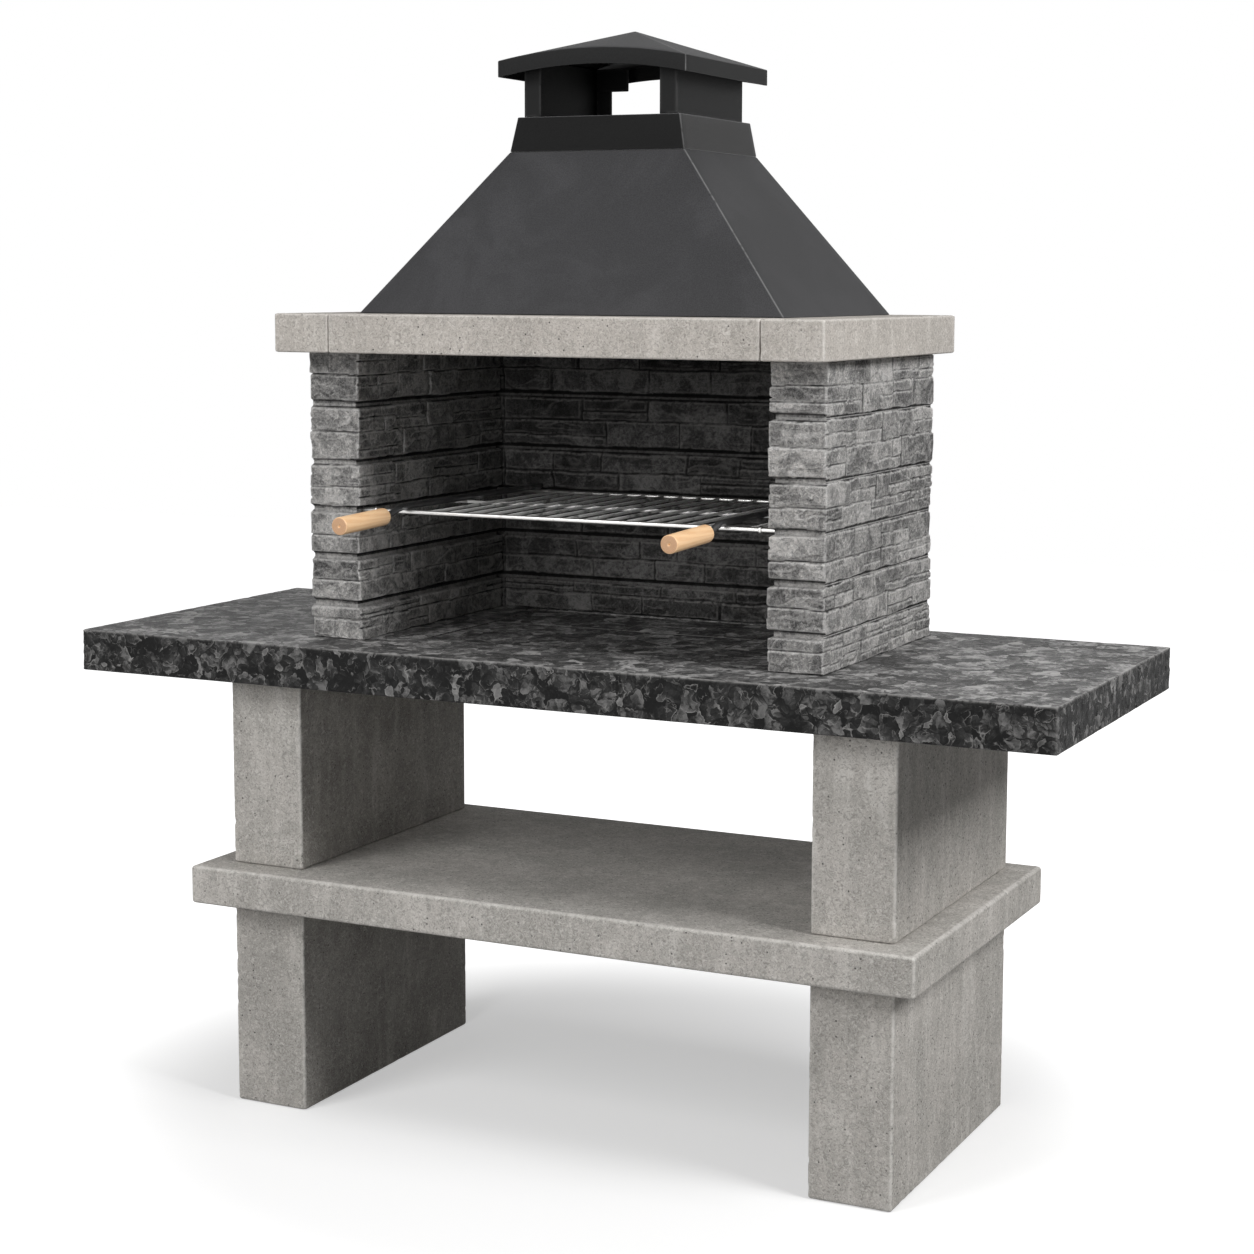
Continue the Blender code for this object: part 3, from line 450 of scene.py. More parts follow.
border = add_node(tree, "TexVoronoi", {"Vector": scaled, "Scale": 1.0},
                  feature="DISTANCE_TO_EDGE").outputs["Distance"]
grained = noise_at(tree, bent, 95.0, 5.0, 0.7, 0.8)
tone = added(tree, (own, 0.56), (slope, 0.60), (grained, 0.52), -0.06)
near_border = remap(tree, border, 0.020, 0.085, 1.0, 0.0)
rim = times(tree, near_border, remap(tree, slope, 0.02, 0.22))
rim = times(tree, rim, remap(tree, noise_at(tree, spot, 42.0, 3.0), 0.42, 0.56))
gap_shade = times(tree, near_border, remap(tree, slope, -0.16, 0.04, 1.0, 0.0))
height = added(tree, (slope, 1.6), (grained, 0.8))
for value, socket in ((tone, "Tone"), (rim, "Rim"), (gap_shade, "GapShade"), (height, "Height")):
    tree.links.new(value, result[socket])

curl_group, given, result = start_group("curled_grain", ["Line"], Scale=60.0)
folded = noise_at(curl_group, given["Vector"], given["Scale"], 2.5, 0.55, 1.4)
wave = maths(curl_group, "SINE", times(curl_group, folded, 46.0))
curl_group.links.new(added(curl_group, (wave, 0.5), 0.5), result["Line"])

# Between the side walls the stone is darkened, more towards the back, and this ends inside the back wall.
firebox_darkening_group, given, result = start_group("firebox_darkening", ["Mask"])
tree, place = firebox_darkening_group, add_node(firebox_darkening_group, "SeparateXYZ", {0: given["Vector"]}).outputs
inner = remap(tree, maths(tree, "ABSOLUTE", place["X"]), 0.41, 0.45, 1.0, 0.0)
deeper = remap(tree, place["Y"], -0.16, 0.26)
ahead = remap(tree, place["Y"], 0.340, 0.360, 1.0, 0.0)
deep_inside = times(tree, times(tree, inner, deeper), ahead)
uneven = remap(tree, noise_at(tree, given["Vector"], 7.0), 0.30, 0.66, 0.72, 1.0)
tree.links.new(times(tree, deep_inside, uneven), result["Mask"])


def effect(tree, group, **inputs):
    """One use of an effect's node group, with its own values."""
    return add_node(tree, "Group", inputs, node_tree=group).outputs


DRY_GLOSS = 0.12


def start_finish(name, roughness, metallic=0.0, gloss=DRY_GLOSS):
    """A new material: its tree, its surface shader, and the place on the object in metres.
    Dry stone and matt paint have pores that swallow most of the mirror-like reflection, so
    their gloss is far below that of clear plastic, which is 0.5."""
    material = bpy.data.materials.new(name)
    material.use_nodes = True
    tree = material.node_tree
    shader = tree.nodes["Principled BSDF"]
    shader.inputs["Roughness"].default_value = roughness
    shader.inputs["Metallic"].default_value = metallic
    shader.inputs["Specular IOR Level"].default_value = gloss
    where = add_node(tree, "TexCoord").outputs["Object"]
    return material, tree, shader, where


def field(tree, name):
    """A piece's own number per point, such as how worn it is."""
    return add_node(tree, "Attribute", attribute_name=name, attribute_type="GEOMETRY").outputs["Fac"]


def bump(tree, shader, height, strength, distance):
    """Fine relief that only tilts the light."""
    relief = add_node(tree, "Bump", {"Height": height, "Strength": strength, "Distance": distance})
    tree.links.new(relief.outputs[0], shader.inputs["Normal"])


print("effects:", [group.name for group in bpy.data.node_groups])

# %% [markdown]
# ## Split stone
# The walls are faced with manufactured split stone: grey, rough, paler where it broke along
# an edge, with dark joints. A painted highlight pales the stones' top edges, ridges and chips
# and the ledges between blocks, and painted shade darkens their hollows and the joint under
# each block. Each stone has its own tone, and fine curled lines where layers of it came away.
# In the firebox, it is darker towards the back. Tone, edge and joint come from the mesh,
# because they follow the stones, and the grain and the clouds come from noise.

# %% Split stone finish
def three_tones(tree, tone, tones):
    """A dark, a middle and a light colour blended by a tone from 0 to 1."""
    ramp = add_node(tree, "ValToRGB", {"Fac": tone})
    ramp.color_ramp.elements[0].color = tones[0]
    ramp.color_ramp.elements[1].color = tones[2]
    ramp.color_ramp.elements.new(0.5).color = tones[1]
    return ramp.outputs[0]


OUTDOORS_Y, OUTDOORS_BLEND = 0.385, 0.005
FIREBOX_DARK = (0.012, 0.011, 0.010, 1.0)


def split_stone(name, tones, edge_colour, darkened_share, own_tone, figure, gloss, tones_outdoors=None):
    """Stone whose own tone runs through dark, middle and light, with pale edges and dark
    joints. The pale edges are partly a painted highlight, and the joints also carry painted shade
    under each block and in hollows. The figure is how strongly curls and chips show. Behind
    OUTDOORS_Y the stone can have other tones, for a wall that is darker only inside the firebox."""
    material, tree, shader, where = start_finish(name, 0.84, gloss=gloss)
    cloud = noise_at(tree, where, 21.0, 3.0, 0.55, 1.0)
    mottle = noise_at(tree, where, 165.0, 6.0, 0.78, 0.7)
    curls = effect(tree, curl_group, Vector=where, Scale=86.0)["Line"]
    chips = effect(tree, flake_group, Vector=where, Scale=52.0)
    fine = effect(tree, grain_group, Vector=where, Scale=520.0)
    tone = added(tree, (field(tree, "stone"), own_tone), remap(tree, cloud, 0.40, 0.60, -0.19, 0.19),
                 remap(tree, mottle, 0.30, 0.70, 0.04, 0.70), (curls, 0.20 * figure),
                 (chips["Tone"], 0.10))
    colour = three_tones(tree, tone, tones)
    if tones_outdoors:
        outdoors = remap(tree, axis_of(tree, where, "Y"), OUTDOORS_Y - OUTDOORS_BLEND,
                         OUTDOORS_Y + OUTDOORS_BLEND)
        colour = mix(tree, outdoors, colour, three_tones(tree, tone, tones_outdoors))
    colour = overlay(tree, colour, fine["Speckle"], 0.14, edge_colour)
    # The chips' rims are painted paler, a painted highlight on their raised side.
    colour = overlay(tree, colour, chips["Rim"], 0.36 * figure, edge_colour)
    # Edges are painted paler: the broken edges, and a painted highlight on top edges, ridges, block
    # corners and the ledges between blocks.
    edge = effect(tree, edge_group, Vector=where, Edge=field(tree, "arris"), Scale=150.0)["Mask"]
    colour = overlay(tree, colour, edge, 0.85, edge_colour)
    # The crease field is the dark joints, together with painted shade under each block, at the foot of
    # each terrace and in hollows.
    colour = overlay(tree, colour, field(tree, "crease"), 0.96, grey(0.006), clamp=True)
    # Darker towards the back of the firebox.
    firebox_dark = effect(tree, firebox_darkening_group, Vector=where)["Mask"]
    colour = overlay(tree, colour, firebox_dark, darkened_share, FIREBOX_DARK)
    tree.links.new(colour, shader.inputs["Base Color"])
    height = added(tree, (mottle, 2.2), (curls, 0.55 * figure), (chips["Height"], 0.8))
    bump(tree, shader, height, 0.95, 0.0034)
    return material


GREY_STONE = (grey(0.064), grey(0.362, 0.02), grey(0.88, 0.03))
# Darker tones for the back wall's face towards the fire, and grey outside it.
FIREBOX_FACE_STONE = (grey(0.010), grey(0.072, 0.01), grey(0.260, 0.02))
stone_finish = split_stone("split_stone_grey", GREY_STONE, grey(0.94, 0.02), darkened_share=0.56,
                           own_tone=0.23, figure=1.0, gloss=DRY_GLOSS)
hearth_wall_finish = split_stone("split_stone_charcoal", FIREBOX_FACE_STONE, grey(0.30, 0.03), darkened_share=0.15,
                                 own_tone=0.30, figure=0.30, gloss=0.03, tones_outdoors=GREY_STONE)
print("stone finishes:", stone_finish.name, hearth_wall_finish.name)

# %% [markdown]
# ## The walls, block by block
# A block is cast with two courses of stones on its faces, so a wall shows deep level joints
# between blocks and finer joints between stones. The measured part already has the main
# joints and how far each stone is set back. These are read from its corners, each stone is
# divided further as the real ones are, and every stone gets warped edges, a tilt, scallops
# and terraces. On the outward side of a wall, the stones reach almost to the next block's,
# so the joint between blocks is narrower there than in front. Elsewhere no stone reaches into
# that joint, where the grid's bars slide.

# %% Read a block's stones
MATCH = 0.0002             # two levels or places nearer than this are the same one
BLOCK_LEDGE = 0.0055       # from a block's end to its first stones
STONE_JOINT = 0.009        # depth of the joints between stones
COURSE_BED = 0.002         # half the height of the joint between a block's two courses
CORNER_ZONE = 0.012        # a joint nearer than this to a corner is the corner's own


def node_points(node):
    """A measured part's own corners, each once."""
    mesh = nodes[node].data
    points = np.empty(len(mesh.vertices) * 3, np.float32)
    mesh.vertices.foreach_get("co", points)
    return np.unique(np.round(points.reshape(-1, 3), 5), axis=0)


def side_stones(row, corner, towards, inwards, length):
    """The stones of one side in one course: start, end and setback, read from an outline."""
    offset = row[:, :2] - corner
    along = offset @ towards
    depth = offset @ inwards
    near = (depth < STONE_JOINT + MATCH) & (along > -0.0001) & (along < length + 0.0001)
    order = np.argsort(along[near])
    along, depth = along[near][order], depth[near][order]
    inside = (along > CORNER_ZONE) & (along < length - CORNER_ZONE)
    joints = along[inside & (depth > STONE_JOINT - 0.0003)]
    bounds = np.concatenate([[0.0], joints, [length]])
    stones = []
    for start, end in zip(bounds[:-1], bounds[1:]):
        own = (along >= start - 0.0001) & (along <= end + 0.0001)
        stones.append((start, end, float(max(depth[own].min(), 0.0))))
    return stones


def block_plan(node):
    """A block's outline, its heights, and the stones of its four sides in its two courses."""
    points = node_points(node)
    levels = np.unique(np.round(points[:, 2], 4))
    spacing = np.diff(levels)
    middle = [levels[i] for i in range(1, len(levels) - 1)
              if abs(spacing[i - 1] - COURSE_BED) < MATCH and abs(spacing[i] - COURSE_BED) < MATCH][0]
    open_below = abs(levels[1] - levels[0] - BLOCK_LEDGE) < 2 * MATCH
    open_above = abs(levels[-1] - levels[-2] - BLOCK_LEDGE) < 2 * MATCH
    outline = rectangle(node)
    corners = np.array(outline)
    towards = np.roll(corners, -1, axis=0) - corners
    lengths = np.linalg.norm(towards, axis=1)
    towards = towards / lengths[:, None]
    inwards = np.stack([-towards[:, 1], towards[:, 0]], axis=1)
    courses = []
    for level in (middle - COURSE_BED, middle + COURSE_BED):
        row = points[np.abs(points[:, 2] - level) < MATCH]
        courses.append([side_stones(row, corners[side], towards[side], inwards[side], lengths[side])
                        for side in range(4)])
    return outline, (levels[0], middle, levels[-1]), (open_below, open_above), courses


_, plan_heights, _, plan_courses = block_plan("right_wall_block_3")
print("right_wall_block_3:", [len(side) for side in plan_courses[0]], "stones on its sides,",
      "middle at", round(plan_heights[1], 4))

# %% Divide and shape the stones
def divide_stones(source, stones, bottom, top, split_share, uneven, longest):
    """Rectangles that fill one course of one side. Part of the stones are two strips, one on
    the other, and the strips of a long stone are cut at their own places, so that the joints
    step."""
    rectangles = []
    for start, end, setback in stones:
        if source.random() < split_share:
            level = bottom + (top - bottom) * source.uniform(0.38, 0.62)
            strips = [(bottom, level), (level, top)]
        else:
            strips = [(bottom, top)]
        for low, high in strips:
            cuts = [start, end]
            if end - start > longest and source.random() < 0.30 * len(strips):
                cuts.insert(1, start + (end - start) * source.uniform(0.30, 0.70))
            for near, far in zip(cuts[:-1], cuts[1:]):
                rectangles.append((near, far, low, high, 0.55 * setback + source.uniform(0.0, uneven)))
    return rectangles


SCALLOP, GRAIN, TERRACE = 0.0006, 0.0005, 0.0015      # how far each goes in or out
TERRACE_CELL = np.array([0.120, 0.120, 0.022])
FACE_LOW, FACE_HIGH = -0.0004, 0.0031                 # where a stone's face is held


def stone_relief(source, rectangles, side_joint, uneven, place, height, length, points, seed):
    """The depth and the fields of one side. A stone's depth is its setback, a tilt, broad
    scallops and one or two terraces with a sharp step; within a few millimetres of its
    warped edge it falls to the joint's depth as 1 - (3t² - 2t³)."""
    warped_place = place + 0.0030 * noise(points, 0.034, seed) + 0.0012 * noise(points, 0.009, seed + 1)
    warped_height = (height + 0.0024 * noise(points, 0.045, seed + 2)
                     + 0.0010 * noise(points, 0.010, seed + 3))
    fine = layered(points, 0.008, seed + 10, 3)
    steps = layered(wandering(points, 0.012, 0.030, seed + 4), TERRACE_CELL, seed + 11, 2) * 1.7
    part = steps - np.floor(steps)
    terrace = np.floor(steps) + smooth((part - 0.86) / 0.14)
    step_edge, step_foot = bell(part - 0.84, 0.06), bell(part - 0.985, 0.035)
    rough = SCALLOP * noise(points, 0.050, seed + 9) - GRAIN * fine + TERRACE * terrace
    open_share = smooth(0.55 + 0.9 * noise(points, 0.035, seed + 14))
    drawn = 0.30 + 0.70 * smooth(0.62 + 1.2 * noise(points, 0.028, seed + 15))
    depth = np.full(place.shape, side_joint)
    tone, crease, edge = np.zeros(place.shape), np.ones(place.shape), np.zeros(place.shape)
    for near, far, bottom, top, setback in rectangles:
        from_near = np.full(place.shape, 1.0) if near <= 1e-6 else warped_place - near
        from_far = np.full(place.shape, 1.0) if far >= length - 1e-6 else far - warped_place
        inside = np.minimum(np.minimum(from_near, from_far),
                            np.minimum(warped_height - bottom, top - warped_height))
        soft = source.uniform(0.0014, 0.0026) * (1 + 0.25 * uneven / 0.0012)
        worn = inside + GRAIN * fine
        kept = smooth(worn / soft)
        tilt = (source.uniform(-0.012, 0.012) * (place - (near + far) / 2)
                + source.uniform(-0.04, 0.02) * (height - (bottom + top) / 2))
        face = setback + 0.0004 + np.clip(rough + tilt, FACE_LOW, FACE_HIGH)
        joint = np.minimum(side_joint, face + 0.0016 + 0.0045 * open_share)
        here = inside > 0
        depth = np.where(here, np.maximum(face + (1 - kept) * (joint - face), 0.0), depth)
        tone = np.where(here, source.uniform(-1.0, 1.0), tone)
        # The crease is a dark joint line round each stone, with painted shade at the foot of each terrace
        # step. The edge is a painted highlight on each stone's top edge and on each step's edge, with the
        # pale broken edge all round.
        line = (1 - smooth(worn / (soft * 0.75))) * (0.55 + 0.45 * open_share) * drawn
        crease = np.where(here, line + 0.34 * step_foot * kept, crease)
        top_edge = bell(top - warped_height - soft, 0.0014)
        edge = np.where(here, 0.95 * top_edge + 0.40 * bell(worn - soft, 0.0012)
                        + 0.45 * step_edge * kept, edge)
    return depth, tone, crease, edge


OUTER_GROOVE = 0.0074      # depth of the joint between blocks, in front and at the back
OUTWARD_GROOVE = 0.0050    # the same on the side that faces away from the firebox
OUTWARD_REACH = 0.0034     # how far the stones there reach into that joint's height
END_ROWS = (0.0, 0.0005, 0.0012, 0.0022, 0.0036)


def stone_block(node, finish, seed, inner_side, split_shares, groove, uneven, longest):
    """One block of split stone in place of its measured part."""
    outline, (bottom, middle, top), (open_below, open_above), courses = block_plan(node)
    stone_bottom = bottom + (BLOCK_LEDGE if open_below else 0.0)
    stone_top = top - (BLOCK_LEDGE if open_above else 0.0)
    source = np.random.default_rng(seed)
    outward = None if inner_side is None else (inner_side + 2) % 4

    def stone_ends(side):
        reach = OUTWARD_REACH if side == outward else 0.0
        return stone_bottom - reach * open_below, stone_top + reach * open_above

    rectangles = []
    for side, share in enumerate(split_shares):
        low, high = stone_ends(side)
        rectangles.append(divide_stones(source, courses[0][side], low, middle, share, uneven, longest)
                          + divide_stones(source, courses[1][side], middle, high, share, uneven, longest))

    def relief(side, place, height, length, points):
        joint = {inner_side: groove, outward: OUTWARD_GROOVE}.get(side, OUTER_GROOVE)
        low, high = stone_ends(side)
        depth, tone, crease, edge = stone_relief(source, rectangles[side], joint, uneven, place,
                                                 height, length, points, seed * 37)
        corner = np.minimum(place, length - place) + 0.0012 * noise(points, 0.014, seed)
        on_stone = (height > low) & (height < high)
        if side != outward:
            depth = np.where(on_stone, depth, joint)
        depth = depth + np.where(on_stone, rounding(np.maximum(corner, 0.0) + 0.0008, 0.0026), 0.0)
        ends = np.minimum(height - bottom + (1.0 if open_below else 0.0),
                          top - height + (1.0 if open_above else 0.0))
        depth = depth + rounding(np.maximum(ends, 0.0), 0.0018)
        # Ridges, which stand out from their neighbours, and the block's corners are painted paler as a
        # highlight, and hollows are painted darker as shade.
        lift = curvature(depth)
        arris = edge * (1.6 if side == inner_side else 1.0) + np.clip(lift * 900, 0, 0.25)
        arris = arris + 0.75 * bell(corner, 0.0024)
        # Between two blocks, a painted shadow lies under the upper block's stones, wider towards the fire
        # and on the back wall, and the lower block's top ledge is painted pale as if lit from above.
        below = smooth((height - middle) / 0.004)
        sheltered = inner_side is None or side == inner_side
        shadow = np.where(height < middle, bell(low - height, 0.0100 if sheltered else 0.0034), 0.10)
        arris = np.where(on_stone, arris, 0.55 * below)
        crease = np.where(on_stone, crease * 0.95, shadow) + np.clip(-lift * 500, 0, 0.2)
        return depth, {"stone": tone, "arris": np.clip(arris, 0, 1), "crease": np.clip(crease, 0, 1)}

    near_end = np.array(END_ROWS)
    rows = np.unique(np.round(np.concatenate([
        bottom + near_end, [stone_bottom],
        np.linspace(stone_bottom, stone_top, int((stone_top - stone_bottom) / 0.0023) + 1),
        [stone_top], top - near_end]), 6))
    grid, fields = relief_sides(outline, rows, relief, (0.0023, 0.0024, 0.012))
    place_piece(closed_mesh(node + "_finished", grid, fields), node, finish)


# Each wall's name, finish and side towards the fire (0 front, 1 right, 2 back, 3 left), the
# share of split stones on each side, the groove's depth there, how unevenly the stones are
# set back, and how long a stone may be before it can be cut.
WALLS = (
    ("left_wall_block", stone_finish, 1, (0.30, 0.40, 0.40, 0.50), 0.0120, 0.0012, 0.12),
    ("right_wall_block", stone_finish, 3, (0.30, 0.50, 0.40, 0.40), 0.0120, 0.0012, 0.12),
    ("back_wall_block", hearth_wall_finish, None, (0.20, 0.0, 0.40, 0.0), 0.0, 0.0040, 0.21),
)
for wall_index, (wall, finish, *details) in enumerate(WALLS):
    for block in range(1, 7):
        stone_block(f"{wall}_{block}", finish, 100 * wall_index + 7 * block, *details)

# %% [markdown]
# ## Cast concrete
# Legs, shelf and lintel are cast in smooth moulds. They are pale and warm, with a fine
# speckle, a few pits, faint clouds, curling hairlines and thin bright arrises that have
# chipped here and there; the arrises' brightness is partly a painted highlight. In the legs'
# finish, painted shade darkens the faces that turn towards the middle. The chips are real
# relief, and only near the arrises, so the faces between stay flat and need few points.

# %% Concrete finish
def cast_concrete(name, base, cloudy, pale, pit_share, inner_shade_share=0.0):
    """Smooth concrete: two tones in clouds and upright streaks, curls, speckle, pits,
    hairlines and pale arrises, partly a painted highlight. Painted shade darkens the faces
    towards the middle."""
    material, tree, shader, where = start_finish(name, 0.80)
    cloud = remap(tree, noise_at(tree, where, 6.5, 5.0, 0.6, 0.4), 0.32, 0.70)
    colour = mix(tree, cloud, base, cloudy)
    # Painted shade, warm and dark, on the faces that turn towards the middle.
    outward = times(tree, maths(tree, "SIGN", axis_of(tree, where, "X")), facing(tree, "X"))
    inward = remap(tree, outward, -0.9, -0.4, 1.0, 0.0)
    painted_inner_shade = times(tree, inward, remap(tree, noise_at(tree, where, 7.0, 4.0), 0.38, 0.62, 0.38, 0.92))
    colour = overlay(tree, colour, painted_inner_shade, inner_shade_share, (0.085, 0.075, 0.062, 1))
    streaks = noise_at(tree, stretched(tree, where, (1.0, 1.0, 0.16)), 30.0, 4.0, 0.6, 0.5)
    colour = mix(tree, remap(tree, streaks, 0.34, 0.66, 0.30, 0.0), colour, darker(base, 0.62))
    colour = mix(tree, remap(tree, streaks, 0.50, 0.72, 0.0, 0.30), colour, pale)
    curls = effect(tree, curl_group, Vector=where, Scale=84.0)["Line"]
    colour = overlay(tree, colour, curls, 0.16, pale)
    worms = noise_at(tree, where, 150.0, 3.0, 0.62, 1.7)
    colour = mix(tree, remap(tree, worms, 0.36, 0.50, 0.62, 0.0), colour, darker(base, 0.50))
    colour = mix(tree, remap(tree, worms, 0.52, 0.68, 0.0, 0.55), colour, pale)
    fine = effect(tree, grain_group, Vector=where, Scale=430.0)
    colour = overlay(tree, colour, fine["Speckle"], 0.22, pale)
    lines = effect(tree, hairline_group, Vector=where, Scale=34.0, Width=0.020)["Mask"]
    colour = overlay(tree, colour, lines, 0.50, pale)
    pits = effect(tree, pit_group, Vector=where, Scale=110.0, Share=pit_share)["Mask"]
    colour = overlay(tree, colour, pits, 0.85, grey(0.05, 0.04))
    # The arrises are painted paler: chipped edges, and partly a painted highlight.
    edge = effect(tree, edge_group, Vector=where, Edge=field(tree, "arris"), Scale=90.0)["Mask"]
    colour = overlay(tree, colour, edge, 0.55, pale)
    tree.links.new(colour, shader.inputs["Base Color"])
    bump(tree, shader, added(tree, (worms, 1.2), (curls, 0.35), (pits, -1.2)), 0.55, 0.0016)
    return material


leg_finish = cast_concrete("cast_concrete", (0.375, 0.356, 0.328, 1), (0.535, 0.502, 0.468, 1),
                           (0.73, 0.71, 0.675, 1), pit_share=0.13, inner_shade_share=0.80)
lintel_finish = cast_concrete("lintel_cast_concrete", (0.43, 0.397, 0.360, 1), (0.53, 0.487, 0.444, 1),
                              (0.72, 0.69, 0.65, 1), pit_share=0.12)
print("concrete finishes:", leg_finish.name, lintel_finish.name)

# %% Concrete pieces
def upright_piece(node, finish, outline, arris, seed, chip=0.0013, waviness=0.00025):
    """A block or folded sheet with upright sides in place of its measured part. Near an
    arris, chips go in by up to chip where the noise passes a threshold, and away from it
    the face is wavy."""
    low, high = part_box(node)

    def relief(side, place, height, length, points):
        corner = np.minimum(place, length - place)
        ends = np.minimum(height - low[2], high[2] - height)
        broken = (np.clip(noise(points, 0.017, seed) - 0.42, 0, 1)
                  + 0.6 * np.clip(noise(points, 0.008, seed + 1) - 0.5, 0, 1))
        near = bell(np.minimum(corner, ends), 0.006)
        depth = rounding(corner + 0.29 * arris, arris) + rounding(ends, arris)
        depth = depth + chip * 1.6 * broken * near
        depth = depth + waviness * (1 + noise(points, 0.06, seed + 2)) * (1 - near)
        # The arris field marks where the finishes paint the edges paler, partly as a painted highlight.
        return depth, {"arris": np.clip(bell(corner, 0.0030) + bell(ends, 0.0030), 0, 1)}

    rows = spread(high[2] - low[2], 0.0011, 0.0035, 0.0075) + low[2]
    grid, fields = relief_sides(outline, rows, relief, (0.0011, 0.016, 0.0075))
    place_piece(closed_mesh(node + "_finished", grid, fields), node, finish)


def mirrored_piece(side, node, finish, plan, *details):
    """An upright piece from its plan on the right, side 1, mirrored for the left, side -1."""
    plan = [(side * x, y) for x, y in plan]
    upright_piece(node, finish, plan if side > 0 else plan[::-1], *details)


LEG_ARRIS, SHELF_ARRIS, LINTEL_ARRIS = 0.005, 0.006, 0.0035
for index, node in enumerate(("lower_leg_left", "lower_leg_right", "upper_leg_left",
                              "upper_leg_right", "shelf")):
    arris = SHELF_ARRIS if node == "shelf" else LEG_ARRIS
    upright_piece(node, leg_finish, rectangle(node), arris, 500 + 10 * index)

for index, node in enumerate(("lintel_beam_front", "lintel_beam_back")):
    upright_piece(node, lintel_finish, rectangle(node), LINTEL_ARRIS, 600 + 10 * index)

BEAM_JOINT = 0.0008        # between the lintel's beams
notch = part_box("lintel_beam_front")[1][0] + BEAM_JOINT
front_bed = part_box("lintel_beam_front")[1][1] + BEAM_JOINT
back_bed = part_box("lintel_beam_back")[0][1] - BEAM_JOINT
for side, node in ((-1, "lintel_beam_left"), (1, "lintel_beam_right")):
    low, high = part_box(node)
    inner, outer = sorted((abs(low[0]), abs(high[0])))
    plan = [(outer, low[1]), (outer, high[1]), (notch, high[1]), (notch, back_bed),
            (inner, back_bed), (inner, front_bed), (notch, front_bed), (notch, low[1])]
    mirrored_piece(side, node, lintel_finish, plan, LINTEL_ARRIS, 640 + side)

# %% [markdown]
# ## The worktop and its hearth
# The worktop is a thick slab whose edges show packed flakes of dark slate with pale rims,
# and whose top is ground smoother, with streaks and a chipped arris. In the finish each flake
# is painted lighter towards its raised side and darker in the gap on its low side, as painted
# shading, and the pale rims and the top arris are partly a painted highlight. A shallow pocket
# in it holds six hearth slabs of the same slate, which are darker in patches. The flakes are cells
# round scattered points, drawn in the finish and again as real relief: each cell is set
# back and tilted by its own amount. A hole can't be part of one flat face, so the top is two
# C-shaped faces that meet across the pocket's front and back.

# %% Flakes as cells
def flakes(points, size, seed):
    """For each point: its flake's own number, the distance to the flake's border in cell
    sizes, and the offset from the flake's middle. A flake is all that lies nearest to one
    scattered point, and the border is where the two nearest are equally far."""
    scaled = points / size
    whole = np.floor(scaled).astype(np.int64)
    nearest = np.full(points.shape[:-1], 9.0)
    second = np.full(points.shape[:-1], 9.0)
    own = np.zeros(points.shape[:-1])
    offset = np.zeros(points.shape)
    for index in range(27):
        step = np.array([index % 3, index // 3 % 3, index // 9]) - 1
        cell = whole + step
        middle = cell + 0.5 + 0.42 * np.stack([cell_values(cell, seed + k) for k in range(3)], axis=-1)
        away = scaled - middle
        distance = np.linalg.norm(away, axis=-1)
        closer = distance < nearest
        second = np.where(closer, nearest, np.minimum(second, distance))
        own = np.where(closer, cell_values(cell, seed + 3), own)
        offset = np.where(closer[..., None], away, offset)
        nearest = np.where(closer, distance, nearest)
    return own, second - nearest, offset


def slate_finish(name, shade, gloss):
    """Dark slate: packed flakes, each with its own tone and its own tilt painted in as shading, a
    few pale rims that are partly a painted highlight, and painted shade in the gaps on their low
    sides. The ground top is paler than the broken sides, and shade is how far it is darkened in patches."""
    material, tree, shader, where = start_finish(name, 0.62, gloss=gloss)
    big = effect(tree, flake_group, Vector=where, Scale=37.0)
    small = effect(tree, flake_group, Vector=where, Scale=90.0)
    ground = effect(tree, flake_group, Vector=where, Scale=26.0)
    up = facing(tree, "Z")
    broken = added(tree, (big["Tone"], 0.66), (small["Tone"], 0.34))
    side = three_tones(tree, remap(tree, broken, 0.26, 0.80),
                       (grey(0.006), grey(0.038, 0.01), grey(0.180, 0.015)))
    smeared = added(tree, (ground["Tone"], 0.62), (small["Tone"], 0.38))
    top = three_tones(tree, remap(tree, smeared, 0.24, 0.78),
                      (grey(0.045, 0.01), grey(0.140, 0.01), grey(0.410, 0.015)))
    is_top = remap(tree, up, 0.72, 0.94)
    colour = mix(tree, is_top, side, top)
    # Pale rims, partly a painted highlight on each flake's raised side.
    rim = maths(tree, "MAXIMUM", big["Rim"], times(tree, small["Rim"], 0.7))
    colour = overlay(tree, colour, rim, 0.55, grey(0.36, 0.02))
    # Painted shade in the gap on each flake's low side, less on the ground top.
    gap_shade = times(tree, big["GapShade"], remap(tree, is_top, 0.0, 1.0, 0.85, 0.35))
    colour = mix(tree, gap_shade, colour, grey(0.008))
    # The arrises are painted paler, chipped and partly a painted highlight.
    worn = effect(tree, edge_group, Vector=where, Edge=field(tree, "arris"), Scale=110.0)["Mask"]
    colour = overlay(tree, colour, worn, 0.60, grey(0.34, 0.02))
    colour = overlay(tree, colour, field(tree, "crease"), 0.60, grey(0.010), clamp=True)
    # Patches darkened by the share shade, which only the hearth slabs have.
    patchy = remap(tree, noise_at(tree, where, 8.0, 4.0, 0.6, 0.8), 0.34, 0.64, 0.80, 1.10)
    colour = overlay(tree, colour, patchy, shade, (0.016, 0.015, 0.014, 1.0), clamp=True)
    tree.links.new(colour, shader.inputs["Base Color"])
    tree.links.new(remap(tree, is_top, 0.0, 1.0, 0.66, 0.56), shader.inputs["Roughness"])
    bump(tree, shader, added(tree, big["Height"], (small["Height"], 0.5)), 0.60, 0.0040)
    return material


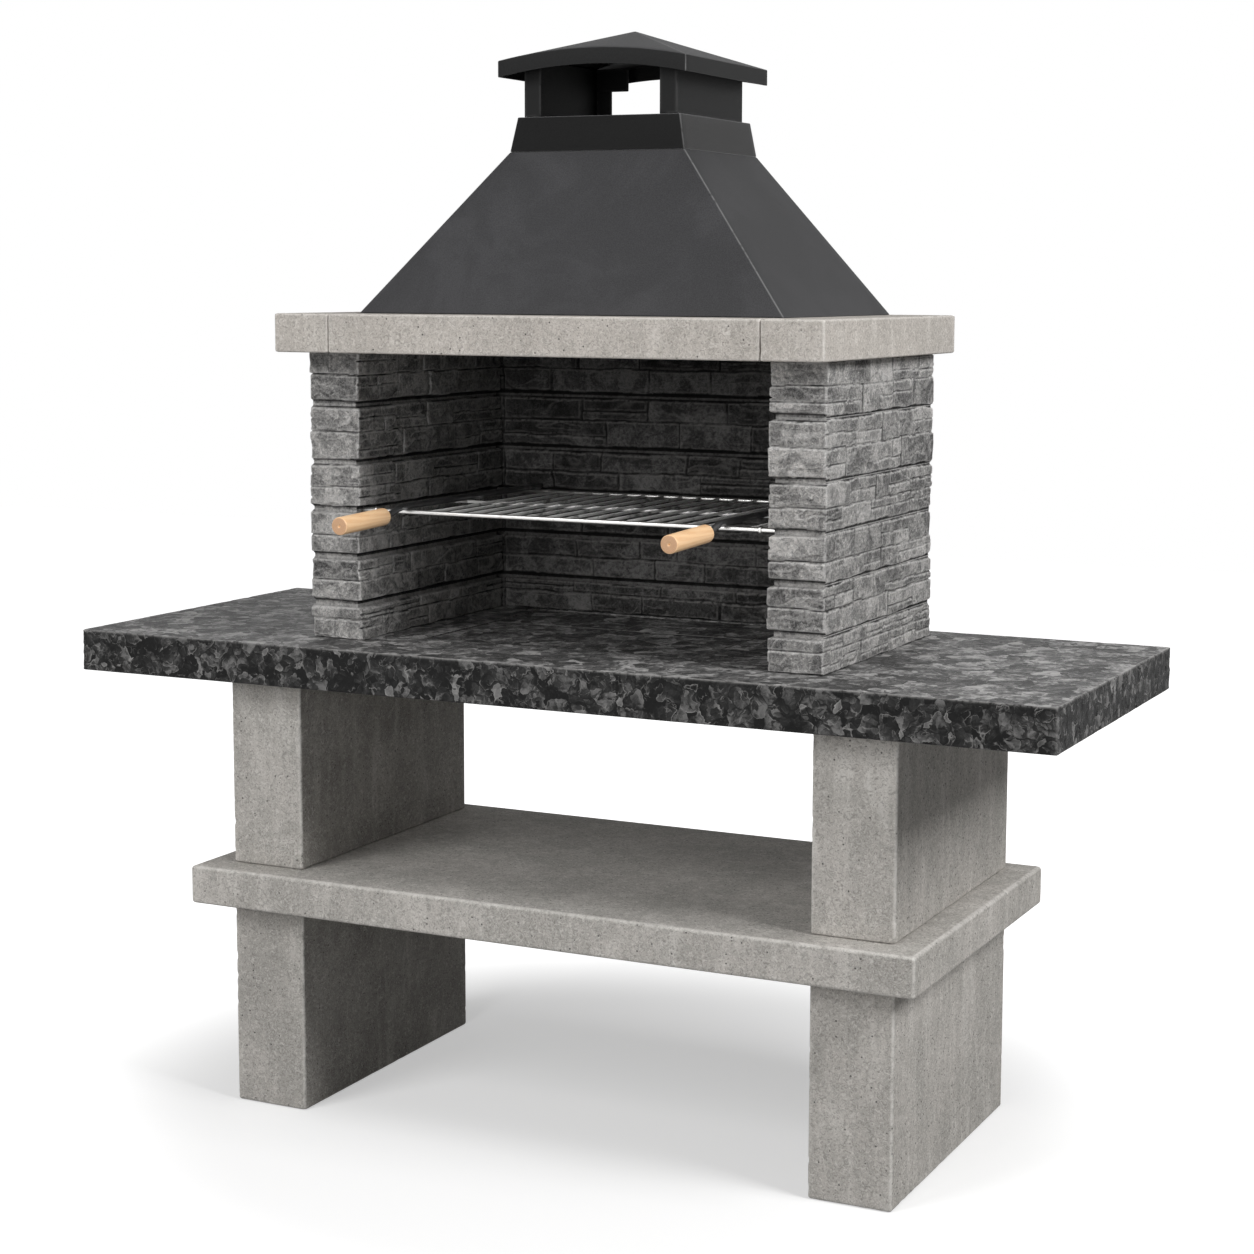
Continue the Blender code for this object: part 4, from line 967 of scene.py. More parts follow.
worktop_finish = slate_finish("slate_worktop", shade=0.0, gloss=DRY_GLOSS)
hearth_finish = slate_finish("slate_hearth", shade=0.28, gloss=0.05)
print("slate finishes:", worktop_finish.name, hearth_finish.name)

# %% The slab with its pocket
HEARTH_PLACES = [(row, column) for row in (1, 2) for column in (1, 2, 3)]
POCKET_MARGIN = 0.0008     # beside the hearth slabs
POCKET_GAP = 0.0003        # under them
top_low, top_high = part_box("worktop")
hearth_boxes = [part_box(f"hearth_slab_{row}_{column}") for row, column in HEARTH_PLACES]
slab_low = np.min([low for low, high in hearth_boxes], axis=0)
slab_high = np.max([high for low, high in hearth_boxes], axis=0)
pocket_low = slab_low[:2] - POCKET_MARGIN
pocket_high = slab_high[:2] + POCKET_MARGIN
pocket_floor = slab_low[2] - POCKET_GAP
middle_height = (top_low[2] + top_high[2]) / 2


def flake_relief(side, place, height, length, points):
    """Flakes set back by up to 1.2 mm, each a little tilted, and a chipped arris."""
    warped = wandering(points, 0.007, 0.02, 900)
    own, border, offset = flakes(warped, np.array([0.036, 0.036, 0.028]), 910)
    joint = 1 - smooth(border / 0.10)
    tilt = 0.0009 * offset[..., 2] * np.sign(own) + 0.0006 * own * (offset[..., 0] + offset[..., 1])
    depth = 0.0007 + 0.0006 * own + tilt + 0.0003 * joint + 0.0004 * layered(points, 0.007, 930, 2)
    corner = np.minimum(place, length - place)
    ends = np.minimum(height - top_low[2], top_high[2] - height)
    near = bell(ends, 0.0045)
    broken = np.clip(noise(points, 0.015, 940) - 0.20, 0, 1)
    depth = np.maximum(depth, 0.0) * (1 - 0.55 * near) + 0.0050 * broken * near * (height > middle_height)
    depth = depth + rounding(corner + 0.0008, 0.0030) + rounding(ends, 0.0020)
    # The top arris is marked most strongly, for a painted highlight along it, and the corners less.
    worn = 0.95 * bell(top_high[2] - height, 0.0026) + 0.5 * bell(corner, 0.0020)
    return depth, {"arris": np.clip(worn, 0, 1), "crease": 0.55 * joint * (1 - near)}


def pocket_relief(side, place, height, length, points):
    """A plain upright wall with a small worn arris at its top."""
    below = top_high[2] - height
    return rounding(below, 0.0012), {"arris": 0.7 * bell(below, 0.002), "crease": np.zeros(place.shape)}


def nearest_column(ring, at_back):
    """The column nearest to the middle plane, on the ring's front or back run."""
    middle_y = (ring[:, 1].min() + ring[:, 1].max()) / 2
    wrong_run = (ring[:, 1] > middle_y) != at_back
    return int(np.argmin(np.abs(ring[:, 0]) + 10 * wrong_run))


def run_between(first, last, count):
    """The columns from first to last, going on past the end to the start where needed."""
    return np.arange(first, last + (count if last < first else 0) + 1) % count


rows = spread(top_high[2] - top_low[2], 0.0008, 0.0026, 0.0050) + top_low[2]
outer, outer_fields = relief_sides(rectangle("worktop"), rows, flake_relief, (0.0024, 0.0027, 0.012))
pocket_plan = [(pocket_low[0], pocket_low[1]), (pocket_low[0], pocket_high[1]),
               (pocket_high[0], pocket_high[1]), (pocket_high[0], pocket_low[1])]
pocket_rows = np.array([pocket_floor, top_high[2] - 0.0012, top_high[2] - 0.0008,
                        top_high[2] - 0.0003, top_high[2]])
pocket, pocket_fields = relief_sides(pocket_plan, pocket_rows, pocket_relief, (0.01, 0.02, 0.02),
                                     (-0.003, 0.003))
outer_rows, outer_columns = outer.shape[:2]
pocket_row_count, pocket_columns = pocket.shape[:2]
first_pocket = outer_rows * outer_columns
outer_top = (outer_rows - 1) * outer_columns
pocket_top = first_pocket + (pocket_row_count - 1) * pocket_columns
outer_front, outer_back = nearest_column(outer[-1], False), nearest_column(outer[-1], True)
pocket_front, pocket_back = nearest_column(pocket[-1], False), nearest_column(pocket[-1], True)
right_half = np.concatenate([outer_top + run_between(outer_front, outer_back, outer_columns),
                             pocket_top + run_between(pocket_back, pocket_front, pocket_columns)])
left_half = np.concatenate([outer_top + run_between(outer_back, outer_front, outer_columns),
                            pocket_top + run_between(pocket_front, pocket_back, pocket_columns)])
underside = np.arange(outer_columns)[::-1]
pocket_base = first_pocket + np.arange(pocket_columns)[::-1]
worktop_mesh = make_mesh(
    "worktop_finished", np.concatenate([outer.reshape(-1, 3), pocket.reshape(-1, 3)]),
    np.concatenate([ring_quads(outer_rows, outer_columns),
                    ring_quads(pocket_row_count, pocket_columns, first_pocket)]),
    (right_half, left_half, underside, pocket_base),
    {name: np.concatenate([outer_fields[name].ravel(), pocket_fields[name].ravel()])
     for name in outer_fields})
place_piece(worktop_mesh, "worktop", worktop_finish)
for row, column in HEARTH_PLACES:
    node = f"hearth_slab_{row}_{column}"
    upright_piece(node, hearth_finish, rectangle(node), 0.0016, 700 + 10 * row + column, chip=0.0012)

# %% [markdown]
# ## Painted steel
# Hood, collar, chimney and cap are folded from 3 mm sheet and painted with a matt charcoal
# heat-proof paint. It has a fine texture, slight clouds, and a thin paler line on each fold,
# partly wear and partly a painted highlight. The faces that slope are painted paler, as light
# from above would make them, so the hood looks paler than the upright chimney. A sleeve is
# one closed profile carried round a rectangle with round corners: up the outside, over the
# flange and down the inside. A real sheet never folds to a knife edge, so each corner of the
# profile is a small curve.

# %% Paint
def painted_steel(name, base, worn, gloss=DRY_GLOSS, sheen=0.0):
    """Matt paint on steel, paler on its folds, partly as a painted highlight, and painted paler
    where it slopes, as light from above would make it. The sheen is the paler look of a dusty
    face seen from the side."""
    material, tree, shader, where = start_finish(name, 0.58, gloss=gloss)
    shader.inputs["Sheen Weight"].default_value = sheen
    shader.inputs["Sheen Roughness"].default_value = 0.40
    cloud = remap(tree, noise_at(tree, where, 6.0, 4.0, 0.6, 0.6), 0.34, 0.68)
    fine = effect(tree, grain_group, Vector=where, Scale=620.0)
    up = facing(tree, "Z")
    # Painted light: sloping faces are painted paler in a light grey, most where the slope is steep and
    # less where it nears level, as light from above would make them.
    painted_slope_light = times(tree, remap(tree, up, 0.22, 0.32), remap(tree, up, 0.42, 0.70, 1.0, 0.55))
    painted_slope_light = times(tree, painted_slope_light, remap(tree, up, 0.80, 0.97, 1.0, 0.85))
    painted_slope_light = times(tree, painted_slope_light, remap(tree, cloud, 0.0, 1.0, 0.125, 0.165))
    painted_slope_light = times(tree, painted_slope_light, remap(tree, fine["Speckle"], 0.0, 1.0, 0.82, 1.18))
    colour = mix(tree, painted_slope_light, base, (0.258, 0.256, 0.272, 1))
    colour = overlay(tree, colour, fine["Speckle"], 0.035, worn)
    # A thin paler line on each fold, partly wear and partly a painted highlight.
    edge = effect(tree, edge_group, Vector=where, Edge=field(tree, "arris"), Scale=60.0)["Mask"]
    colour = overlay(tree, colour, edge, 0.60, worn)
    tree.links.new(colour, shader.inputs["Base Color"])
    tree.links.new(remap(tree, fine["Height"], 0.3, 0.7, 0.50, 0.66), shader.inputs["Roughness"])
    bump(tree, shader, fine["Height"], 0.35, 0.0008)
    return material


# The second colour is that paler fold line, partly a painted highlight; it is darker on the chimney and
# the brackets.
paint = painted_steel("charcoal_paint", grey(0.005, -0.02), grey(0.24))
collar_paint = painted_steel("collar_paint", grey(0.003, -0.02), grey(0.16), gloss=0.04, sheen=1.0)
chimney_paint = painted_steel("chimney_paint", grey(0.006, -0.02), grey(0.05))
bracket_paint = painted_steel("bracket_paint", grey(0.003), grey(0.03))
print("paints:", [finish.name for finish in (paint, collar_paint, chimney_paint, bracket_paint)])

# %% Sleeves of folded sheet
def rounded_rectangle(half_width, front, back, radius, straight=20, corner=5):
    """Points round a rectangle, anticlockwise from its front left: straight runs with a
    quarter circle of the radius at each corner. Also gives 1 at the corners' middles,
    fading to 0 where the runs begin, and each point's share of the half width."""
    half_depth = (back - front) / 2
    radius = min(radius, 0.45 * half_width, 0.45 * half_depth)
    reach = np.array([half_width - radius, half_depth - radius])
    centres = reach * np.array([[-1, -1], [1, -1], [1, 1], [-1, 1]])
    points, edge = [], []
    for index in range(4):
        angles = np.pi + np.pi / 2 * index + np.linspace(0, np.pi / 2, corner + 1)
        arc = centres[index] + radius * np.stack([np.cos(angles), np.sin(angles)], axis=1)
        start = arc[-1]
        following = np.pi + np.pi / 2 * (index + 1)
        end = centres[(index + 1) % 4] + radius * np.array([np.cos(following), np.sin(following)])
        share = np.linspace(0, 1, straight + 1)[1:-1, None]
        points += [arc, start + (end - start) * share]
        edge += [np.sin(np.linspace(0, np.pi, corner + 1)), np.zeros(straight - 1)]
    points = np.concatenate(points)
    return points + [0.0, (front + back) / 2], np.concatenate(edge), points[:, 0] / half_width


def curved_profile(stations, fold, closed, steps=4):
    """Stations with each corner replaced by a curve: a quadratic through the points that lie
    a fold's length before and after it, pulled towards the corner. Also marks the curves."""
    stations = np.array(stations, float)
    rows, marks = [], []
    count = len(stations)
    for index in range(count):
        here = stations[index]
        if not closed and index in (0, count - 1):
            rows.append(here)
            marks.append(0.0)
            continue
        towards = [stations[index - 1] - here, stations[(index + 1) % count] - here]
        ends = [here + step * min(fold / max(np.linalg.norm(step[:4]), 1e-9), 0.42) for step in towards]
        for t in np.linspace(0, 1, steps):
            rows.append(ends[0] * (1 - t) ** 2 + here * 2 * t * (1 - t) + ends[1] * t ** 2)
            marks.append(float(np.sin(np.pi * t)))
    return np.array(rows), np.array(marks)


def sheet_sleeve(node, stations, fold, corner_radius, finish, closed=True, wave=0.0004):
    """A folded sheet in place of its measured part. A station is half width, front, back,
    height and arch, and its ring's height is height + arch·(1 - share²), where share runs
    from -1 to 1 across. An open profile ends in a small flat cap."""
    profile, marks = curved_profile(stations, fold, closed)
    grid, edges = [], []
    for (half_width, front, back, height, arch), mark in zip(profile, marks):
        ring, edge, share = rounded_rectangle(half_width, front, back, corner_radius)
        lifted = height + arch * (1 - np.clip(share, -1, 1) ** 2)
        grid.append(np.column_stack([ring, lifted]))
        # The arris field marks the folds and the rounded corners, where the paint draws its paler line,
        # partly a painted highlight.
        edges.append(np.maximum(edge ** 2, 0.12 * mark))
    grid = np.array(grid)
    sway = wave * (noise(grid, 0.14, 40) - 1)
    centre = grid.mean(axis=(0, 1))
    outwards = grid - centre
    outwards[..., 2] = 0
    grid = grid + outwards / np.linalg.norm(outwards, axis=-1)[..., None].clip(1e-6) * sway[..., None]
    rows, columns = grid.shape[:2]
    quads, caps = closing_quads(rows, columns), ()
    if not closed:
        quads = ring_quads(rows, columns)
        caps = (np.arange(columns)[::-1], np.arange(columns) + (rows - 1) * columns)
    fields = {"arris": np.array(edges)}
    place_piece(make_mesh(node + "_finished", grid.reshape(-1, 3), quads, caps, fields), node, finish)


SHEET = 0.003


def sleeve_stations(bottom, top, bottom_flange, top_flange):
    """The closed profile of a tapered sleeve: up the outside, in along the top flange, down
    the inside at one sheet's thickness square to each slope, and out along the foot."""
    height = top[3] - bottom[3]
    slopes = np.array([bottom[0] - top[0], bottom[1] - top[1], bottom[2] - top[2]]) / height
    sheet = SHEET * np.hypot(1, slopes)

    def inner(level):
        outside = np.array(bottom[:3]) - slopes * (level - bottom[3])
        return (outside[0] - sheet[0], outside[1] + sheet[1], outside[2] - sheet[2], level, 0.0)

    def flange(station, width, level):
        return (station[0] - width, station[1] + width, station[2] - width, level, 0.0)

    return [(*bottom, 0.0), (*top, 0.0), flange(top, top_flange, top[3]),
            flange(top, top_flange, top[3] - SHEET), inner(top[3] - SHEET), inner(bottom[3] + SHEET),
            flange(bottom, bottom_flange, bottom[3] + SHEET), flange(bottom, bottom_flange, bottom[3])]


SHOULDER_HALF, COLLAR_TOP_HALF = 0.171, 0.159
COLLAR_INSET, COLLAR_TOP_DEPTH = 0.007, 0.303
hood_low, hood_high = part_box("hood")
collar_low, collar_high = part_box("hood_collar")
shoulder = (SHOULDER_HALF, collar_low[1], collar_high[1])
sheet_sleeve("hood", sleeve_stations((hood_high[0], hood_low[1], hood_high[1], hood_low[2]),
                                     (*shoulder, hood_high[2]), 0.022, 0.014),
             fold=0.0024, corner_radius=0.0035, finish=paint)
collar_front = collar_low[1] + COLLAR_INSET
collar_top = (COLLAR_TOP_HALF, collar_front, collar_front + COLLAR_TOP_DEPTH, collar_high[2])
sheet_sleeve("hood_collar", sleeve_stations((*shoulder, collar_low[2]), collar_top, 0.014, 0.050),
             fold=0.0018, corner_radius=0.003, finish=collar_paint)

# %% Chimney and cap
chimney_low, chimney_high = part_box("chimney_side_right")
post, web, outer_x = chimney_low[0], chimney_high[0] - SHEET, chimney_high[0]
front, back = chimney_low[1], chimney_high[1]
plan = [(outer_x, front), (outer_x, back), (post, back), (post, back - SHEET),
        (web, back - SHEET), (web, front + SHEET), (post, front + SHEET), (post, front)]
for side, node in ((-1, "chimney_side_left"), (1, "chimney_side_right")):
    mirrored_piece(side, node, chimney_paint, plan, 0.0010, 800 + side, 0.0, 0.0001)
for node in ("cap_bracket_left", "cap_bracket_right"):
    upright_piece(node, bracket_paint, rectangle(node), 0.0007, 820, chip=0.0, waviness=0.0001)

CAP_FASCIA, CAP_ARCH, CAP_RISE, CAP_TIP = 0.028, 0.018, 0.060, 0.0015
cap_low, cap_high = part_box("chimney_cap")
cap_middle = (cap_low[1] + cap_high[1]) / 2
half_width, half_depth = cap_high[0], (cap_high[1] - cap_low[1]) / 2
eave = cap_low[2] + CAP_FASCIA
pitch = CAP_RISE / half_width
roof = SHEET * np.hypot(1, pitch)
inner_eave = eave - roof + pitch * SHEET


def cap_station(inset, height, arch, share=1.0):
    """A ring of the cap: share 1 at the eave and 0 at the apex."""
    width = (half_width - inset) * share + CAP_TIP * (1 - share)
    depth = (half_depth - inset) * share + CAP_TIP * (1 - share)
    return (width, cap_middle - depth, cap_middle + depth, height, arch)


def roof_stations(inset, low, high, shares):
    """The rings of one face of the roof, whose height and arch follow their share."""
    return [cap_station(inset, low + (high - low) * (1 - share), CAP_ARCH * share, share)
            for share in shares]


roof_shares = np.linspace(1, 0, 10)
outer_roof = roof_stations(0.0, eave, cap_high[2], roof_shares)
inner_roof = roof_stations(SHEET, inner_eave, cap_high[2] - roof, roof_shares[::-1])
fascia = [cap_station(SHEET, cap_low[2], CAP_ARCH), cap_station(0.0, cap_low[2], CAP_ARCH)]
sheet_sleeve("chimney_cap", inner_roof + fascia + outer_roof, fold=0.0016, corner_radius=0.0025,
             finish=paint, closed=False, wave=0.0002)

# %% [markdown]
# ## The grid and its handles
# The grid is round steel bar: a bright front and back bar whose ends lie in the walls'
# grooves, thinner rods between them that the fire has darkened, and two shafts that lie on
# both bars and bend down in front into turned beech handles. Bars and handles are profiles
# turned about an axis; the shafts are a circle carried along the measured part's middle line.

# %% Steel and beech
def bar_steel(name, bright, stained, stain_low, stain_high, roughness, metallic=1.0):
    """Round steel bar: bright metal with darker stains from heat. Below a metallic of 1 it
    wears a grey scale that scatters the light."""
    material, tree, shader, where = start_finish(name, roughness, metallic, 0.5)
    lengthwise = stretched(tree, where, (1.0, 0.4, 1.0))
    stain = remap(tree, noise_at(tree, lengthwise, 30.0, 3.0, 0.6, 0.6), stain_low, stain_high)
    fine = effect(tree, grain_group, Vector=where, Scale=700.0)
    tree.links.new(mix(tree, stain, bright, stained), shader.inputs["Base Color"])
    dulled = remap(tree, stain, 0.0, 1.0, roughness, min(roughness + 0.22, 1.0))
    tree.links.new(dulled, shader.inputs["Roughness"])
    bump(tree, shader, fine["Height"], 0.10, 0.0002)
    return material


def beech(name, centre):
    """Pale beech: growth rings about a line beside the handle, stretched into grain along
    it, with short dark flecks. A ring is a wave of the distance from that line."""
    material, tree, shader, where = start_finish(name, 0.46, gloss=0.35)
    placed = add_node(tree, "Mapping", {"Vector": where,
                                        "Location": (-centre[0], 0.0, -centre[1])}).outputs[0]
    lengthwise = stretched(tree, placed, (1.0, 0.06, 1.0))
    wavy = noise_at(tree, lengthwise, 60.0, 3.0, 0.5)
    across = [maths(tree, "POWER", axis_of(tree, placed, axis), 2.0) for axis in ("X", "Z")]
    radius = maths(tree, "SQRT", added(tree, *across))
    rings = maths(tree, "SINE", times(tree, added(tree, radius, (wavy, 0.004)), 3100.0))
    colour = overlay(tree, (0.95, 0.63, 0.36, 1), remap(tree, rings, -1.0, 1.0), 0.55,
                     (0.80, 0.465, 0.235, 1))
    fibres = remap(tree, noise_at(tree, lengthwise, 420.0, 4.0, 0.6), 0.40, 0.66)
    colour = overlay(tree, colour, fibres, 0.34, (0.98, 0.72, 0.46, 1))
    fleck = effect(tree, pit_group, Vector=stretched(tree, placed, (1.0, 0.16, 1.0)), Scale=520.0,
                   Share=0.24)["Mask"]
    colour = overlay(tree, colour, fleck, 0.34, (0.36, 0.185, 0.085, 1))
    end_grain = remap(tree, facing(tree, "Y"), -0.96, -0.80, 1.0, 0.0)
    end_rings = remap(tree, rings, -0.6, 0.8, 0.70, 0.42)
    colour = overlay(tree, colour, end_grain, end_rings, (0.34, 0.17, 0.105, 1))
    tree.links.new(colour, shader.inputs["Base Color"])
    bump(tree, shader, fibres, 0.14, 0.0004)
    return material


chrome = bar_steel("bright_bar", (0.56, 0.555, 0.54, 1), (0.34, 0.33, 0.32, 1), 0.50, 0.78, 0.36)
rod_steel = bar_steel("fired_rod", (0.97, 0.965, 0.95, 1), (0.22, 0.215, 0.21, 1), 0.52, 0.70, 0.50, 0.05)
shaft_steel = bar_steel("shaft_steel", (0.26, 0.26, 0.265, 1), (0.13, 0.13, 0.133, 1), 0.35, 0.70, 0.36)
print("steels:", [finish.name for finish in (chrome, rod_steel, shaft_steel)])

# %% Turned bars
def turned_points(profile, start, direction, sides=24):
    """A profile of radius and distance turned about a line: point = start + distance·d +
    radius·(cos·u + sin·v), where u and v are square to d and to each other."""
    direction = np.asarray(direction, float) / np.linalg.norm(direction)
    helper = np.array([0.0, 0.0, 1.0]) if abs(direction[2]) < 0.9 else np.array([1.0, 0.0, 0.0])
    first = np.cross(helper, direction)
    first /= np.linalg.norm(first)
    second = np.cross(direction, first)
    angles = 2 * np.pi * np.arange(sides) / sides
    circle = np.cos(angles)[:, None] * first + np.sin(angles)[:, None] * second
    profile = np.asarray(profile, float)
    return np.asarray(start) + profile[:, 1, None, None] * direction + profile[:, 0, None, None] * circle


def bar_profile(length, radius, chamfer):
    """A round bar with softened ends."""
    turn = np.linspace(0, np.pi / 2, 4)
    near = [(radius - chamfer * (1 - np.sin(t)), chamfer * (1 - np.cos(t))) for t in turn]
    far = [(r, length - d) for r, d in near[::-1]]
    return near + far


def join_grids(name, grids):
    """Several closed-round grids with flat ends as one mesh."""
    points, quads, caps, first = [], [], [], 0
    for grid in grids:
        rows, columns = grid.shape[:2]
        points.append(grid.reshape(-1, 3))
        quads.append(ring_quads(rows, columns, first))
        caps += [first + np.arange(columns)[::-1], first + np.arange(columns) + (rows - 1) * columns]
        first += rows * columns
    return make_mesh(name, np.concatenate(points), np.concatenate(quads), caps)


def box_and_middle(node):
    """A measured part's lowest and highest corners, and the point midway."""
    low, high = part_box(node)
    return low, high, (np.array(low) + np.array(high)) / 2


for node in ("grid_front_bar", "grid_back_bar"):
    low, high, middle = box_and_middle(node)
    profile = bar_profile(high[0] - low[0], (high[2] - low[2]) / 2, 0.0012)
    grid = turned_points(profile, (low[0], middle[1], middle[2]), (1, 0, 0))
    place_piece(join_grids(node + "_finished", [grid]), node, chrome, "grid")

ROD_RADIUS, CROSS_RADIUS, ROD_CHAMFER = 0.00275, 0.003, 0.0009
ROD_SPACES = 16            # between the two shafts, which take the first and last place
rods_low, rods_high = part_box("grid_rods")
rod_points = node_points("grid_rods")
shaft_x = [box_and_middle(f"handle_shaft_{side}")[2][0] for side in ("left", "right")]
pitch_x = (shaft_x[1] - shaft_x[0]) / ROD_SPACES
rod_places = [shaft_x[0] + pitch_x * index for index in range(-1, ROD_SPACES + 2)
              if index not in (0, ROD_SPACES)]
rod_level = rods_high[2] - ROD_RADIUS
rod_profile = bar_profile(rods_high[1] - rods_low[1], ROD_RADIUS, ROD_CHAMFER)
grids = [turned_points(rod_profile, (x, rods_low[1], rod_level), (0, 1, 0), 16) for x in rod_places]
cross_end = rod_points[rod_points[:, 0] > rods_high[0] - MATCH]
cross_middle = (cross_end.min(axis=0) + cross_end.max(axis=0)) / 2
cross_profile = bar_profile(rods_high[0] - rods_low[0], CROSS_RADIUS, ROD_CHAMFER)
grids.append(turned_points(cross_profile, (rods_low[0], cross_middle[1], cross_middle[2]), (1, 0, 0), 16))
place_piece(join_grids("grid_rods_finished", grids), "grid_rods", rod_steel, "grid")
print("rods:", len(rod_places), "from x", round(rod_places[0], 3), "to", round(rod_places[-1], 3))

# %% Rings, shafts and handles
def bored_mesh(name, profile, start, direction, sides=32):
    """A turned piece whose profile closes on itself round a bore."""
    grid = turned_points(profile, start, direction, sides)
    return make_mesh(name, grid.reshape(-1, 3), closing_quads(*grid.shape[:2]))


RING_BORE, RING_SOFT = 0.00455, 0.0008
for side in ("left", "right"):
    node = f"grid_ring_{side}"
    low, high, middle = box_and_middle(node)
    radius, width = (high[2] - low[2]) / 2, high[0] - low[0]
    soft, part = RING_SOFT, 0.3 * RING_SOFT
    profile = [(RING_BORE, 0.0), (radius - soft, 0.0), (radius - part, part), (radius, soft),
               (radius, width - soft), (radius - part, width - part), (radius - soft, width),
               (RING_BORE, width)]
    ring = bored_mesh(node + "_finished", profile, (low[0], middle[1], middle[2]), (1, 0, 0))
    place_piece(ring, node, chrome, "grid")


def middle_line(node, centre_x):
    """A shaft's middle line, from the measured part's own top and bottom corners."""
    points = node_points(node)
    spine = points[np.abs(points[:, 0] - centre_x) < MATCH]
    order = spine[np.argsort(spine[:, 1])]
    count = len(order) // 2
    pairs = order[:2 * count].reshape(count, 2, 3)
    return pairs.mean(axis=1)


HANDLE_LENGTH, HANDLE_RADIUS, DROOP = 0.145, 0.0155, np.radians(1.8)
WOOD_Y = -0.247827         # where a handle's wood begins
NECK_ROUND, TIP_ROUND = 0.006, 0.0022
BORE_DEPTH, TIP_HOLE = 0.1103, 0.00175
ROUTE_POINTS, SHAFT_SIDES = 60, 24
quarter = np.linspace(0, np.pi / 2, 6)
angles = 2 * np.pi * np.arange(SHAFT_SIDES) / SHAFT_SIDES
for side, centre_x in zip(("left", "right"), shaft_x):
    node = f"handle_shaft_{side}"
    line = middle_line(node, centre_x)
    fine_y = np.linspace(line[0, 1], line[-1, 1], ROUTE_POINTS)
    route = np.column_stack([np.full(ROUTE_POINTS, centre_x), fine_y,
                             np.interp(fine_y, line[:, 1], line[:, 2])])
    slope = np.gradient(route[:, 2], route[:, 1])
    heading = np.column_stack([np.zeros(ROUTE_POINTS), np.ones(ROUTE_POINTS), slope])
    heading /= np.linalg.norm(heading, axis=1)[:, None]
    upward = np.column_stack([np.zeros(ROUTE_POINTS), -heading[:, 2], heading[:, 1]])
    low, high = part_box(node)
    radius = (high[0] - low[0]) / 2
    grid = (route[:, None, :] + radius * np.cos(angles)[None, :, None] * np.array([-1.0, 0, 0])
            + radius * np.sin(angles)[None, :, None] * upward[:, None, :])
    place_piece(join_grids(node + "_finished", [grid]), node, shaft_steel, "grid")

    node = f"handle_{side}"
    low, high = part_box(node)
    bore = radius + 0.0003
    profile = [(bore, 0.0)]
    profile += [(HANDLE_RADIUS - NECK_ROUND * (1 - np.sin(t)), NECK_ROUND * (1 - np.cos(t)))
                for t in quarter]
    profile += [(HANDLE_RADIUS, HANDLE_LENGTH * share) for share in (0.2, 0.5, 0.8)]
    profile += [(HANDLE_RADIUS - TIP_ROUND * (1 - np.cos(t)), HANDLE_LENGTH - TIP_ROUND * (1 - np.sin(t)))
                for t in quarter]
    profile += [(r, HANDLE_LENGTH) for r in (0.011, 0.008, 0.005, TIP_HOLE)]
    profile += [(TIP_HOLE, BORE_DEPTH), (bore, BORE_DEPTH)]
    direction = (0.0, -np.cos(DROOP), -np.sin(DROOP))
    start = np.array([(low[0] + high[0]) / 2, WOOD_Y,
                      (low[2] + high[2]) / 2 + np.sin(DROOP) * HANDLE_LENGTH / 2])
    place_piece(bored_mesh(node + "_finished", profile, start, direction), node,
                beech(f"beech_{side}", (start[0], start[2] - 0.006)), "grid")

# %% [markdown]
# ## Studio
# The floor is plain and pale, and turns white away from the object. The camera, the mirrors
# of the steel bars and clear materials all see the same white sky, without it adding light to
# the object. Three soft lamps model the forms: one high in front on the left, one low in
# front, and one high at the right. The sky fills the shadows.

# %% Floor, sky and lamps
FLOOR_HALF = 9.0
FLOOR_DROP = 0.0005        # so that the legs' undersides aren't in the floor's own plane
floor_corners = np.array([(-FLOOR_HALF, -FLOOR_HALF, 0), (FLOOR_HALF, -FLOOR_HALF, 0),
                          (FLOOR_HALF, FLOOR_HALF, 0), (-FLOOR_HALF, FLOOR_HALF, 0)]) - [0, 0, FLOOR_DROP]
floor_mesh = make_mesh("floor", floor_corners, np.array([[0, 1, 2, 3]]), sharp=True)
floor = show("floor", floor_mesh)

SEEN_GLOW = 0.415          # what the camera sees glow under the object, to add to the lit floor
WHITE_FROM, WHITE_TO = 0.68, 1.30
floor_finish = bpy.data.materials.new("pale_floor")
floor_finish.use_nodes = True
tree = floor_finish.node_tree
tree.nodes.clear()
where = add_node(tree, "TexCoord").outputs["Object"]
away = add_node(tree, "VectorMath", {0: where}, operation="LENGTH").outputs["Value"]
whitening = remap(tree, away, WHITE_FROM, WHITE_TO, SEEN_GLOW, 1.0)


def seen_ray(tree):
    """1 for the rays of the camera, of mirrors and of clear materials."""
    path = add_node(tree, "LightPath").outputs
    mirrored = maths(tree, "MAXIMUM", path["Is Glossy Ray"], path["Is Transmission Ray"])
    return maths(tree, "MAXIMUM", path["Is Camera Ray"], mirrored)


